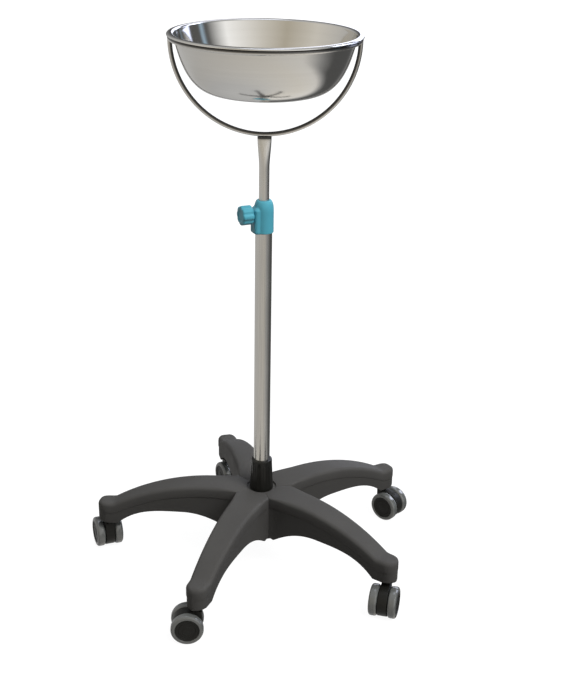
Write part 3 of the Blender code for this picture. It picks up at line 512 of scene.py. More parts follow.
def hoop_painted_shade(tree, place):
    """Mask of painted shade on the hoop: from nothing on the hoop's inner side, which the bowl shelters, to
    one on its outer side.
    """
    moved = vector_node(tree, "SUBTRACT", "Vector", {0: place, 1: (0.0, 0.0, hoop_height)})
    reach = vector_node(tree, "LENGTH", "Value", {0: moved})
    return scaled(tree, reach, 0.0, 1.0, ring_radius - rod_radius, ring_radius + rod_radius)


def ring_painted_shade(tree, place):
    """Mask of painted shade on the ring: from nothing on the ring's upper side, under the lip, to one on its
    lower side.
    """
    height = parts_of(tree, place)["Z"]
    return scaled(tree, height, 1.0, 0.0, ring_height - rod_radius, ring_height + rod_radius)


def tube_painted_shadow(tree, place):
    """Mask of painted shadow on the upper tube: from nothing at its welded end under the hoop to one a little
    below it.
    """
    height = parts_of(tree, place)["Z"]
    return scaled(tree, height, 1.0, 0.0, inner_top - WELD_SHADOW_LENGTH, inner_top + SEAT_GAP)


def spun_steel(name, dark, light, inside, outside):
    """Polished sheet that was spun to shape: fine rings round the axis, and a better polish inside."""
    material, tree, shader = new_material(name, 1.0)
    place = object_coordinates(tree)
    parted = parts_of(tree, place)
    flat = shader_node(tree, "CombineXYZ", {"X": parted["X"], "Y": parted["Y"]}).outputs["Vector"]
    radius = vector_node(tree, "LENGTH", "Value", {0: flat})
    across = shader_node(tree, "CombineXYZ", {"X": radius, "Y": parted["Z"]}).outputs["Vector"]
    rings = noise(tree, across, SPUN_FINE_RINGS, roughness=SPUN_ROUGHNESS)
    wide = noise(tree, across, SPUN_WIDE_RINGS, roughness=GRAIN_ROUGHNESS)
    cloud = noise(tree, place, SPUN_MOTTLE, CLOUD_DETAIL)
    colour = ramp(tree, wide, list(zip(NOISE_SPAN, (dark, light))))
    outward = vector_node(tree, "SUBTRACT", "Vector", {0: place, 1: (0.0, 0.0, lip_top)})
    facing = shader_node(tree, "TexCoord").outputs["Normal"]
    turned = vector_node(tree, "DOT_PRODUCT", "Value", {0: facing, 1: outward})
    finish = scaled(tree, turned, inside, outside, 0.0, WELD_DISTANCE)
    gloss = math_node(tree, "ADD", finish, scaled(tree, cloud, *SPUN_UNEVEN))
    cover(tree, shader, colour, gloss, rings, SPUN_BUMP, STEEL_RELIEF)
    return material


# Plastics: dark and light colour, roughness, size and strength of the grain, specular level
BASE_NYLON = plastic("base_nylon", (0.050, 0.049, 0.048), (0.063, 0.062, 0.060), 0.60, 2200.0, 0.16, 0.10)
GLOSS_BLACK = plastic("gloss_black", (0.006, 0.006, 0.005), (0.009, 0.009, 0.008), 0.28, 900.0, 0.03, 0.30)
HOOD_NYLON = plastic("hood_nylon", (0.007, 0.007, 0.006), (0.011, 0.011, 0.010), 0.40, 1800.0, 0.10, 0.20)
GREY_RUBBER = plastic("grey_rubber", (0.075, 0.079, 0.077), (0.097, 0.101, 0.099), 0.15, 1200.0, 0.02, 0.95)
TEAL_PLASTIC = plastic("teal_plastic", (0.070, 0.345, 0.450), (0.083, 0.372, 0.485), 0.44, 2000.0, 0.10)
WHITE_NYLON = plastic("white_nylon", (0.70, 0.69, 0.65), (0.78, 0.77, 0.73), 0.48, 1500.0, 0.06)
# Metals: dark and light colour, roughness, and the grain if drawn or the roughness outside if spun
TUBE_STEEL = drawn_steel("tube_steel", *TUBE_COLOURS, 0.18, TUBE_GRAIN)
# The upper tube, hoop and ring carry painted shade from the masks above
UPPER_STEEL = drawn_steel("upper_steel", *TUBE_COLOURS, 0.26, TUBE_GRAIN, tube_painted_shadow)
HOOP_STEEL = drawn_steel("hoop_steel", *ROD_COLOURS, 0.20, ROD_GRAIN, hoop_painted_shade)
RING_STEEL = drawn_steel("ring_steel", *ROD_COLOURS, 0.20, ROD_GRAIN, ring_painted_shade)
ZINC_STEEL = drawn_steel("zinc_steel", (0.44, 0.44, 0.43), (0.55, 0.55, 0.55), 0.38, ZINC_GRAIN)
BRASS = drawn_steel("brass", (0.55, 0.41, 0.17), (0.66, 0.50, 0.24), 0.34, BRASS_GRAIN)
POLISHED_STEEL = spun_steel("polished_steel", (0.62, 0.61, 0.585), (0.645, 0.635, 0.61), 0.08, 0.14)


# Mesh helpers
def shade(mesh, angle=SMOOTH_ANGLE):
    mesh.shade_smooth()
    mesh.set_sharp_from_angle(angle=radians(angle))
    return mesh


def mesh_from(form, angle=SMOOTH_ANGLE):
    bmesh.ops.recalc_face_normals(form, faces=form.faces)
    mesh = bpy.data.meshes.new("form")
    form.to_mesh(mesh)
    form.free()
    return shade(mesh, angle)


def loft_mesh(rings, closed=False, angle=SMOOTH_ANGLE):
    """A skin through rings of points. A ring of one point makes a tip; closed joins the last to the first."""
    form = bmesh.new()
    loops = [[form.verts.new(point) for point in ring] for ring in rings]
    pairs = list(zip(loops, loops[1:]))
    if closed:
        pairs.append((loops[-1], loops[0]))
    else:
        for end in (loops[0], loops[-1]):
            if len(end) > 1:
                form.faces.new(end)
    for first, second in pairs:
        for i in range(max(len(first), len(second))):
            corners = [first[k % len(first)] for k in (i, i + 1)]
            corners += [second[k % len(second)] for k in (i + 1, i)]
            form.faces.new(list(dict.fromkeys(corners)))
    return mesh_from(form, angle)


def turned_mesh(profile, segments, closed=False, angle=SMOOTH_ANGLE):
    """A turned piece about Z from (radius, height) pairs; a radius of nothing makes a point on the axis."""
    rings = []
    for radius, height in profile:
        if radius <= 0.0:
            rings.append([(0.0, 0.0, height)])
        else:
            rings.append([(x, y, height) for x, y in circle(radius, segments)])
    return loft_mesh(rings, closed, angle)


def pin_mesh(radius, foot, top, segments=PIN_SEGMENTS):
    return turned_mesh([(0.0, foot), (radius, foot), (radius, top), (0.0, top)], segments)


def arc(centre, radius, start, end, steps):
    points = []
    for i in range(steps + 1):
        angle = radians(start + (end - start) * i / steps)
        points.append((centre[0] + radius * cos(angle), centre[1] + radius * sin(angle)))
    return points


def circle(radius, sides, centre=(0.0, 0.0)):
    return arc(centre, radius, 0.0, 360.0, sides)[:-1]


def turns(sides):
    return [2 * pi * i / sides for i in range(sides)]


def polar(radius, angle, height):
    return (radius * cos(angle), radius * sin(angle), height)


def bezier(start, first, second, end, steps):
    points = []
    for i in range(steps + 1):
        t = i / steps
        weights = ((1 - t) ** 3, 3 * t * (1 - t) ** 2, 3 * t * t * (1 - t), t**3)
        pairs = zip(weights, (start, first, second, end))
        points.append(tuple(sum((w * Vector(p) for w, p in pairs), Vector((0.0, 0.0)))))
    return points


def rotated(*steps):
    """The matrix of turns by angles about axes, of which the last is made first."""
    matrix = Matrix()
    for angle, axis in steps:
        matrix = matrix @ Matrix.Rotation(radians(angle), 4, axis)
    return matrix


def spread(start, end, count):
    return [start + (end - start) * i / (count - 1) for i in range(count)]


def smooth_step(share):
    share = min(1.0, max(0.0, share))
    return share * share * (3 - 2 * share)


def linked(name, data):
    obj = bpy.data.objects.new(name, data)
    scene.collection.objects.link(obj)
    return obj


def helper(mesh, place=(0.0, 0.0, 0.0), turn=(0.0, 0.0, 0.0)):
    """A form that is only used to cut or join, and is removed again."""
    obj = linked("helper", mesh)
    obj.location = place
    obj.rotation_euler = turn
    return obj


def shaped(mesh, solver, cutters, angle=SMOOTH_ANGLE, joined=()):
    """The mesh with other objects joined on and then cut away; the others are removed."""
    body = helper(mesh)
    for other in (*joined, *cutters):
        modifier = body.modifiers.new(other.name, "BOOLEAN")
        modifier.operation = "UNION" if other in joined else "DIFFERENCE"
        modifier.solver = solver
        modifier.object = other
    bpy.context.view_layer.update()
    graph = bpy.context.evaluated_depsgraph_get()
    made = bpy.data.meshes.new_from_object(body.evaluated_get(graph))
    for obj in (body, *joined, *cutters):
        bpy.data.objects.remove(obj)
    form = bmesh.new()
    form.from_mesh(made)
    bmesh.ops.remove_doubles(form, verts=form.verts, dist=WELD_DISTANCE)
    form.to_mesh(made)
    form.free()
    return shade(made, angle)


def add_piece(name, mesh, material, body, node, matrix=None):
    """Puts a finished piece in place of one of the part's nodes, on the body that carries it."""
    mesh = mesh.copy()
    mesh.name = name
    if matrix is not None:
        mesh.transform(matrix)
    mesh.materials.clear()
    mesh.materials.append(material)
    obj = linked(name, mesh)
    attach(obj, body)
    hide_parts(node)


# Star base
def leg_angle(index):
    return radians(FIRST_LEG_ANGLE + index * LEG_STEP)


def axes(angle):
    """The directions along and across a leg at an angle."""
    along = Vector((cos(angle), sin(angle), 0.0))
    return along, Vector((-along.y, along.x, 0.0))


def stem_place(index):
    return Vector(polar(STEM_CIRCLE_RADIUS, leg_angle(index), 0.0))


def leg_top(reach):
    if reach < LEG_CROWN_REACH:
        return crown_height - HUB_DIP * (1.0 - reach / LEG_CROWN_REACH) ** 2
    full_run = STEM_CIRCLE_RADIUS - LEG_CROWN_REACH
    radius = (full_run**2 + LEG_END_DROP**2) / (2 * LEG_END_DROP)
    run = min(reach - LEG_CROWN_REACH, full_run)
    return max(boss_top, crown_height - radius + sqrt(radius**2 - run**2))


def leg_foot(reach):
    if reach < ARCH_CROWN_REACH:
        share = (ARCH_CROWN_REACH - reach) / (ARCH_CROWN_REACH - hub_radius)
        return arch_height - (ARCH_RISE - HUB_FOOT_RISE) * min(1.0, share) ** 2
    share = (reach - ARCH_CROWN_REACH) / (boss_start - ARCH_CROWN_REACH)
    return arch_height - ARCH_RISE * min(1.0, share) ** ARCH_POWER


def leg_half_width(reach):
    if reach > STEM_CIRCLE_RADIUS:
        return sqrt(boss_radius**2 - (reach - STEM_CIRCLE_RADIUS) ** 2)
    slope = (LEG_CROWN_WIDTH - BOSS_DIAMETER) / (STEM_CIRCLE_RADIUS - LEG_CROWN_REACH)
    flare = LEG_FLARE * max(0.0, 1.0 - reach / LEG_CROWN_REACH) ** 2
    return (BOSS_DIAMETER + slope * (STEM_CIRCLE_RADIUS - reach)) / 2 + flare


def lip_step(reach):
    share = min(1.0, reach / boss_start)
    return LEG_LIP_STEP + share * (LEG_LIP_END_STEP - LEG_LIP_STEP)


def past_stem(reach):
    return max(0.0, reach - STEM_CIRCLE_RADIUS) / boss_radius


def end_fall(reach):
    into_round = max(0.0, (past_stem(reach) * boss_radius - boss_radius) / BOSS_TOP_ROUND + 1.0)
    return BOSS_TOP_ROUND * (1.0 - sqrt(1.0 - into_round**2))


def corner_reach():
    """How far out the sides of two neighbouring legs meet, found step by step."""
    reach = LEG_CROWN_REACH
    for _ in range(CORNER_TRIES):
        reach = leg_half_width(reach) / half_sector
    return reach


def leg_side(reach, corner):
    """Half a leg's outline, from the middle of its top, round its side, to the middle of its underside."""
    top = leg_top(reach)
    foot = leg_foot(reach)
    lip = top - LEG_LIP_HEIGHT
    if reach < corner + WELD_DISTANCE:
        half = reach * half_sector
        shoulder = CORNER_ROUND * (reach / corner) ** CORNER_POWER
        if shoulder < LEAST_ROUND:
            shoulder = 0.0
        step = 0.0
        under = 0.0
    else:
        half = leg_half_width(reach)
        grown = smooth_step((reach - corner) / CORNER_BLEND)
        shoulder = min(half, CORNER_ROUND + grown * (LEG_ROUND - CORNER_ROUND))
        step = min(lip_step(reach), half * EDGE_SHARE) * smooth_step((reach - corner) / LEG_LIP_BLEND)
        under = LEG_FOOT_ROUND + past_stem(reach) * (BOSS_FOOT_ROUND - LEG_FOOT_ROUND)
        under = min(under, half * EDGE_SHARE)
    top -= end_fall(reach)
    side = [(0.0, top), ((half - shoulder) / 2, top)]
    side += arc((half - shoulder, top - shoulder), shoulder, 90.0, 0.0, ROUND_STEPS)
    for share in spread(0.0, 1.0, EDGE_STATIONS):
        side.append((half - step * smooth_step(share), lip + LEG_LIP_SOFTEN * (1 - 2 * share)))
    side += arc((half - step - under, foot + under), under, 0.0, -90.0, FOOT_STEPS)
    side += [(0.0, foot)]
    return side


def leg_reaches(corner):
    reaches = spread(0.0, corner, HUB_STATIONS) + spread(corner, boss_start, LEG_STATIONS)[1:]
    reaches += spread(boss_start, STEM_CIRCLE_RADIUS, EDGE_STATIONS)[1:]
    for angle in spread(0.0, BOSS_END_ANGLE, BOSS_END_STEPS)[1:]:
        reaches.append(STEM_CIRCLE_RADIUS + boss_radius * sin(radians(angle)))
    return reaches


def star_mesh():
    """The five legs as one skin: each leg is skinned in its own sector and welded to the next ones."""
    corner = corner_reach()
    reaches = leg_reaches(corner)
    first_side = ROUND_STEPS + 2
    form = bmesh.new()
    for index in range(len(LEG_NAMES)):
        along, across = axes(leg_angle(index))
        for sign in (-1, 1):
            rows = []
            for reach in reaches:
                points = [along * reach + across * sign * y + UP * z for y, z in leg_side(reach, corner)]
                rows.append([form.verts.new(point) for point in points])
            form.faces.new(rows[-1])
            for station, (here, there) in enumerate(zip(rows, rows[1:])):
                last = len(here) - 2
                inside = station < HUB_STATIONS - 1
                for k in range(last + 1):
                    # Inside the hub, sectors meet and have no sides
                    if inside and first_side <= k < last:
                        continue
                    form.faces.new((here[k], there[k], there[k + 1], here[k + 1]))
    bmesh.ops.remove_doubles(form, verts=form.verts, dist=WELD_DISTANCE)
    bmesh.ops.dissolve_degenerate(form, edges=form.edges, dist=WELD_DISTANCE)
    return mesh_from(form)


def pocket_rings(along, across, side, start, end):
    rings = []
    for reach in spread(start, end, POCKET_STATIONS):
        near = along * reach + across * side * RIB_THICKNESS / 2
        far = along * reach + across * side * (leg_half_width(reach) - lip_step(reach) - LEG_WALL)
        roof = UP * (leg_top(reach) - LEG_ROOF)
        mouth = UP * (leg_foot(reach) - OVERCUT)
        rings.append([near + mouth, far + mouth, far + roof, near + roof])
    return rings


def hub_seat_height():
    return leg_top(hub_seat_radius) - HUB_SEAT_DEPTH


def hollow_meshes():
    """The hollows under the legs and the hub, and the scallops in the hub's rim."""
    made = []
    first = hub_radius + LEG_WALL
    bay = (boss_start - LEG_WALL - first) / LEG_BAYS
    notch = circle(HUB_NOTCH_RADIUS, PIN_SEGMENTS, (0.0, hub_foot + HUB_NOTCH_DEPTH - HUB_NOTCH_RADIUS))
    for index in range(len(LEG_NAMES)):
        along, across = axes(leg_angle(index))
        for number in range(LEG_BAYS):
            start = first + number * bay + RIB_THICKNESS / 2
            for side in (-1, 1):
                rings = pocket_rings(along, across, side, start, start + bay - RIB_THICKNESS)
                made.append(loft_mesh(rings))
        along, across = axes(leg_angle(index + 0.5))
        rings = []
        for reach in (hub_radius - LEG_WALL / 2, hub_radius + 2 * OVERCUT):
            rings.append([along * reach + across * x + UP * z for x, z in notch])
        made.append(loft_mesh(rings))
    inside = outer_radius + SEAT_GAP + HUB_TUBE_WALL
    outside = hub_radius - LEG_WALL
    roof = hub_seat_height() - HUB_ROOF
    for index in range(2 * len(LEG_NAMES)):
        start = FIRST_LEG_ANGLE + index * LEG_STEP / 2
        outline = []
        for radius, order in ((inside, 1), (outside, -1)):
            margin = degrees(asin(RIB_THICKNESS / 2 / radius))
            end = start + LEG_STEP / 2 - margin
            outline += arc((0.0, 0.0), radius, start + margin, end, SOFT_STEPS)[::order]
        rings = [[(x, y, height) for x, y in outline] for height in (hub_foot - OVERCUT, roof)]
        made.append(loft_mesh(rings))
    form = bmesh.new()
    for mesh in made:
        form.from_mesh(mesh)
        bpy.data.meshes.remove(mesh)
    return mesh_from(form)


def add_star_base():
    cutters = [helper(hollow_meshes())]
    bore = (STEM_DIAMETER / 2 + SEAT_GAP, boss_foot - OVERCUT, boss_foot + STEM_REACH_UP + SEAT_GAP)
    for index in range(len(LEG_NAMES)):
        cutters.append(helper(pin_mesh(*bore), stem_place(index)))
    round_cuts = (
        (hub_seat_radius, hub_seat_height(), TUBE_SEGMENTS),
        (outer_radius + SEAT_GAP, outer_foot - SEAT_GAP, TUBE_SEGMENTS),
        (BOLT_DIAMETER / 2 + SEAT_GAP, hub_foot - OVERCUT, PIN_SEGMENTS),
    )
    for radius, foot, segments in round_cuts:
        cutters.append(helper(pin_mesh(radius, foot, crown_height + OVERCUT, segments)))
    mesh = shaped(star_mesh(), "MANIFOLD", cutters, LEG_SMOOTH_ANGLE)
    add_piece("star_base_moulding", mesh, BASE_NYLON, "base", "star_base")


# Castors
def wheel_mesh():
    """A wheel's core: a dished face with a domed cap and a fine groove, bored for the axle from behind."""
    half = WHEEL_WIDTH / 2
    radius = wheel_radius - TYRE_DEPTH - SEAT_GAP
    bore = AXLE_DIAMETER / 2 + SEAT_GAP
    blind = AXLE_GRIP + SEAT_GAP - half
    face = half - WHEEL_DISH
    rim = radius - WHEEL_RIM
    cap = radius * WHEEL_CAP_SHARE
    groove = radius * WHEEL_GROOVE_SHARE
    depth = WHEEL_GROOVE_DEPTH
    profile = [(0.0, blind), (bore, blind), (bore, -half), (radius, -half), (radius, half - WHEEL_EDGE)]
    profile += [(radius - WHEEL_EDGE, half), (rim, half), (rim - WHEEL_DISH, face)]
    profile += [(groove + depth, face), (groove, face - depth), (groove - depth, face), (cap + depth, face)]
    profile += [(cap * out, face + depth * rise) for out, rise in WHEEL_DOME]
    return turned_mesh(profile, WHEEL_SEGMENTS, angle=WHEEL_SMOOTH_ANGLE)


def tyre_mesh():
    """A tyre with round shoulders. Its tread lies on the flats of the CAD tyre, so it stands as that does."""
    half = WHEEL_WIDTH / 2
    seat = wheel_radius - TYRE_DEPTH
    shoulder = wheel_radius - TYRE_FACET_DROP - TYRE_SHOULDER
    inner = seat + TYRE_BREAK
    profile = [(seat, half - TYRE_BREAK), (inner, half)]
    profile += arc((shoulder, half - TYRE_SHOULDER), TYRE_SHOULDER, 90.0, 0.0, SOFT_STEPS)
    profile += arc((shoulder, TYRE_SHOULDER - half), TYRE_SHOULDER, 0.0, -90.0, SOFT_STEPS)
    profile += [(inner, -half), (seat, TYRE_BREAK - half)]
    return turned_mesh(profile, WHEEL_SEGMENTS, closed=True)


def hood_mesh():
    """A castor's body: a drum between the wheels that runs up into the neck round the stem."""
    neck = NECK_DIAMETER / 2
    shoulder = hood_top - NECK_COLLAR_HEIGHT
    centre = (-CASTOR_TRAIL, wheel_radius)
    bore_foot = hood_top - STEM_REACH_DOWN - SEAT_GAP
    outline = arc(centre, HOOD_DIAMETER / 2, HOOD_BACK_ANGLE, HOOD_FRONT_ANGLE, HOOD_STEPS)
    outline += [(neck, bore_foot - HOOD_WALL), (neck, shoulder), (-neck, shoulder)]
    half = HOOD_WIDTH / 2
    levels = []
    for angle in spread(90.0, 0.0, EDGE_STATIONS):
        turn = radians(angle)
        levels.append((HOOD_EDGE * (1 - sin(turn)) - half, HOOD_EDGE * (1 - cos(turn))))
    levels += [(-across, inset) for across, inset in levels[::-1]]
    middle = Vector(centre)
    rings = []
    for across, inset in levels:
        shrunk = [Vector(point) + (middle - Vector(point)).normalized() * inset for point in outline]
        rings.append([(point.x, across, point.y) for point in shrunk])
    collar = [(0.0, shoulder - OVERCUT), (neck, shoulder - OVERCUT), (neck, hood_top - NECK_EDGE)]
    collar += [(neck - NECK_EDGE, hood_top), (0.0, hood_top)]
    collar = turned_mesh(collar, NECK_SEGMENTS)
    stem_bore = pin_mesh(STEM_DIAMETER / 2 + SEAT_GAP, bore_foot, boss_foot + OVERCUT)
    axle_bore = pin_mesh(AXLE_DIAMETER / 2 + SEAT_GAP, -HOOD_WIDTH, HOOD_WIDTH)
    axle_turn = (radians(90.0), 0.0, 0.0)
    joined = [helper(collar)]
    cutters = [helper(stem_bore)]
    cutters.append(helper(axle_bore, (-CASTOR_TRAIL, 0.0, wheel_radius), axle_turn))
    return shaped(loft_mesh(rings), "EXACT", cutters, joined=joined)


def broken_edges(radius, foot, top, edge):
    return [(radius - edge, foot), (radius, foot + edge), (radius, top - edge), (radius - edge, top)]


def stem_mesh():
    radius = STEM_DIAMETER / 2
    flange_top = boss_foot - SEAT_GAP
    flange_foot = flange_top - STEM_FLANGE_THICKNESS
    top = boss_foot + STEM_REACH_UP
    foot = hood_top - STEM_REACH_DOWN
    pin = broken_edges(radius, foot, top, STEM_EDGE)
    flange = broken_edges(STEM_FLANGE_DIAMETER / 2, flange_foot, flange_top, STEM_EDGE)
    profile = [(0.0, foot), *pin[:2], (radius, flange_foot), *flange]
    profile += [(radius, flange_top), *pin[2:], (0.0, top)]
    return turned_mesh(profile, PIN_SEGMENTS)


def add_castors():
    hood = hood_mesh()
    stem = stem_mesh()
    wheel = wheel_mesh()
    tyre = tyre_mesh()
    wheel_place = HOOD_WIDTH / 2 + WHEEL_SIDE_GAP + WHEEL_WIDTH / 2
    for index, leg in enumerate(LEG_NAMES):
        swivel = Matrix.Translation(stem_place(index)) @ rotated((CASTOR_YAW[leg], "Z"))
        axle = swivel @ Matrix.Translation((-CASTOR_TRAIL, 0.0, wheel_radius))
        node = f"{leg}_castor_hood"
        add_piece(f"{leg}_castor_body", hood, HOOD_NYLON, f"{leg}_castor", node, swivel)
        node = f"{leg}_castor_stem"
        add_piece(f"{leg}_castor_pin", stem, ZINC_STEEL, "base", node, swivel)
        for side, sign in (("left", 1), ("right", -1)):
            place = axle @ Matrix.Translation((0.0, sign * wheel_place, 0.0)) @ rotated((-90.0 * sign, "X"))
            body = f"{leg}_{side}_wheel"
            node = f"{leg}_wheel_{side}"
            add_piece(f"{leg}_{side}_disc", wheel, HOOD_NYLON, body, node, place)
            node = f"{leg}_tyre_{side}"
            add_piece(f"{leg}_{side}_tread", tyre, GREY_RUBBER, body, node, place)


# Column
def add_column_sleeve():
    """The fluted ferrule: each flute is a shallow hollow that dies out below the lip and above the foot."""
    bore = outer_radius + SEAT_GAP
    foot = hub_seat_height() + SEAT_GAP
    top = foot + SLEEVE_HEIGHT
    top_radius = bore + SLEEVE_TOP_WALL
    foot_radius = bore + SLEEVE_FOOT_WALL
    sides = FLUTE_COUNT * FLUTE_SIDES
    levels = [(foot_radius, foot)]
    for share in spread(0.0, 1.0, SLEEVE_STATIONS):
        height = foot + SLEEVE_LIP + share * (SLEEVE_HEIGHT - 2 * SLEEVE_LIP)
        levels.append((foot_radius + share * (top_radius - foot_radius), height))
    levels += arc((top_radius - SLEEVE_LIP, top - SLEEVE_LIP), SLEEVE_LIP, 0.0, 90.0, ROUND_STEPS)[1:]
    rings = []
    for radius, height in levels:
        inside = min(height - foot - SLEEVE_LIP, top - 2 * SLEEVE_LIP - height) / FLUTE_RUN_OUT
        ring = []
        for angle in turns(sides):
            hollow = (0.5 + 0.5 * cos(FLUTE_COUNT * angle)) ** 2
            depth = FLUTE_DEPTH * hollow * smooth_step(inside)
            ring.append(polar(radius - depth, angle, height))
        rings.append(ring)
    for height in (top, foot):
        rings.append([(x, y, height) for x, y in circle(bore, sides)])
    mesh = loft_mesh(rings, closed=True, angle=LOBE_SMOOTH_ANGLE)
    add_piece("fluted_sleeve", mesh, GLOSS_BLACK, "base", "column_sleeve")


def add_outer_tube():
    profile = [(outer_bore, outer_foot), (outer_radius, outer_foot), (outer_radius, outer_top - TUBE_EDGE)]
    profile += [(outer_radius - TUBE_EDGE, outer_top), (outer_bore, outer_top)]
    mesh = turned_mesh(profile, TUBE_SEGMENTS, closed=True)
    add_piece("lower_tube", mesh, TUBE_STEEL, "base", "outer_tube")


def flat_outline(press, wall):
    """The upper tube's outline, pressed flat by a share, with how far each point rises to follow the hoop."""
    half_width = inner_radius + press * (FLAT_WIDTH / 2 - inner_radius)
    half_depth = sqrt(2 * inner_radius**2 - half_width**2)
    points = []
    for x, y in circle(1.0, TUBE_SEGMENTS):
        across = x * (half_width - wall)
        saddle = press * (ring_radius - sqrt(ring_radius**2 - across**2))
        points.append((across, y * (half_depth - wall), saddle))
    return points


def add_inner_tube():
    """The upper tube: round, then pressed flat toward its top end, which is shaped to the hoop."""
    flat_start = inner_top - FLAT_LENGTH
    stations = [(inner_foot, 0.0)]
    for share in spread(0.0, 1.0, FLAT_STATIONS):
        stations.append((flat_start + share * FLAT_LENGTH, smooth_step(share)))
    rings = []
    for wall, order in ((0.0, 1), (TUBE_WALL, -1)):
        for height, press in stations[::order]:
            rings.append([(x, y, height + saddle) for x, y, saddle in flat_outline(press, wall)])
    mesh = loft_mesh(rings, closed=True)
    add_piece("upper_tube", mesh, UPPER_STEEL, "mast", "inner_tube")


# Bowl and its carrier
def rod_mesh(path, side, closed=False):
    """A round rod along the points of a flat path that is square to side, with ends square to the path."""
    rings = []
    count = len(path)
    for i, point in enumerate(path):
        before = path[i - 1] if i or closed else path[i]
        after = path[(i + 1) % count] if i < count - 1 or closed else path[i]
        out = (after - before).normalized().cross(side).normalized()
        rings.append([point + side * x + out * y for x, y in circle(rod_radius, ROD_SIDES)])
    return loft_mesh(rings, closed)


def add_yoke_hoop():
    path = [Vector((x, 0.0, z)) for x, z in arc((0.0, hoop_height), ring_radius, 180.0, 360.0, HOOP_STEPS)]
    mesh = rod_mesh(path, Vector((0.0, 1.0, 0.0)))
    add_piece("hoop_rod", mesh, HOOP_STEEL, "mast", "yoke_hoop")


def add_support_ring():
    path = [Vector((x, y, ring_height)) for x, y in circle(ring_radius, RING_STEPS)]
    mesh = rod_mesh(path, UP, closed=True)
    add_piece("ring_rod", mesh, RING_STEEL, "mast", "support_ring")


def bowl_profile():
    """The bowl's outline, from the middle of its inside, over the lip, to the middle of its underside."""
    floor = lip_top - BOWL_DEPTH
    heel = BOWL_FLOOR_DIAMETER / 2
    rim = ring_radius - rod_radius - BOWL_RING_CLEARANCE
    belly = (rim - BOWL_WALL_LEAN, lip_foot - BOWL_BELLY)
    side = bezier((rim, lip_foot), belly, (heel + BOWL_HEEL, floor), (heel, floor), BOWL_SIDE_STEPS)
    inside = []
    for before, here, after in zip(side, side[1:], side[2:]):
        along = (Vector(after) - Vector(before)).normalized()
        inside.append((here[0] + along.y * BOWL_WALL, here[1] - along.x * BOWL_WALL))
    lip_outside = RING_DIAMETER / 2 + LIP_OVERHANG
    middle = (rim - BOWL_WALL + lip_outside) / 2
    half = lip_outside - middle
    bead = []
    for across, rise in arc((0.0, 0.0), 1.0, 180.0, 0.0, LIP_STEPS):
        bead.append((middle + half * across, lip_foot + LIP_THICKNESS * max(0.0, rise)))
    inner = [(heel * share, floor + BOWL_WALL) for share in BOWL_FLOOR_SHARES]
    outer = [(heel * share, floor) for share in BOWL_FLOOR_SHARES[-2::-1]]
    return inner + inside[::-1] + bead + side + outer


def add_bowl():
    mesh = turned_mesh(bowl_profile(), BOWL_SEGMENTS, angle=BOWL_SMOOTH_ANGLE)
    add_piece("spun_bowl", mesh, POLISHED_STEEL, "bowl", "bowl")


# Clamp
def clamp_matrix():
    return Matrix.Translation((0.0, 0.0, clamp_height)) @ rotated((CLAMP_ANGLE, "Z"), (90.0, "Y"))


def boss_reach(angle, shrink):
    """How far the collar's boss reaches at an angle from the clamp's axis, shrunk by a factor."""
    half = COLLAR_BOSS_WIDTH / 2 * shrink
    face = collar_face * shrink
    corner = COLLAR_BOSS_ROUND * shrink
    c, s = cos(angle), abs(sin(angle))
    if c <= 0.0:
        return half / s
    reach = min(face / c, half / s if s > 0.0 else face / c)
    if reach * c > face - corner and reach * s > half - corner:
        middle = Vector((face - corner, half - corner))
        near = middle.dot(Vector((c, s)))
        reach = near + sqrt(max(0.0, near * near - middle.length_squared + corner * corner))
    return reach


def smooth_max(a, b, width):
    share = max(0.0, width - abs(a - b)) / width
    return max(a, b) + share * share * width / 4


def collar_body_radius(height):
    """The collar's round body: a soft foot, a straight side and shoulders that slope in to the top."""
    top_radius = inner_radius + RUNNING_GAP + COLLAR_TOP_WALL
    if height < COLLAR_EDGE:
        drop = 1.0 - height / COLLAR_EDGE
        return collar_radius - COLLAR_EDGE * (1.0 - sqrt(max(0.0, 1.0 - drop * drop)))
    if height <= collar_shoulder:
        return collar_radius
    slope = bezier(
        (top_radius, COLLAR_HEIGHT),
        ((top_radius + collar_radius) / 2, COLLAR_HEIGHT - COLLAR_EDGE),
        (collar_radius, collar_shoulder + COLLAR_SHOULDER_HEIGHT / 2),
        (collar_radius, collar_shoulder),
        SHOULDER_STEPS,
    )
    for (r0, z0), (r1, z1) in zip(slope, slope[1:]):
        if z1 <= height <= z0:
            return r0 + (r1 - r0) * (z0 - height) / (z0 - z1)
    return top_radius


def collar_ring(radii, height):
    pairs = zip(radii, turns(COLLAR_SIDES))
    return [polar(radius, angle + radians(CLAMP_ANGLE), height) for radius, angle in pairs]


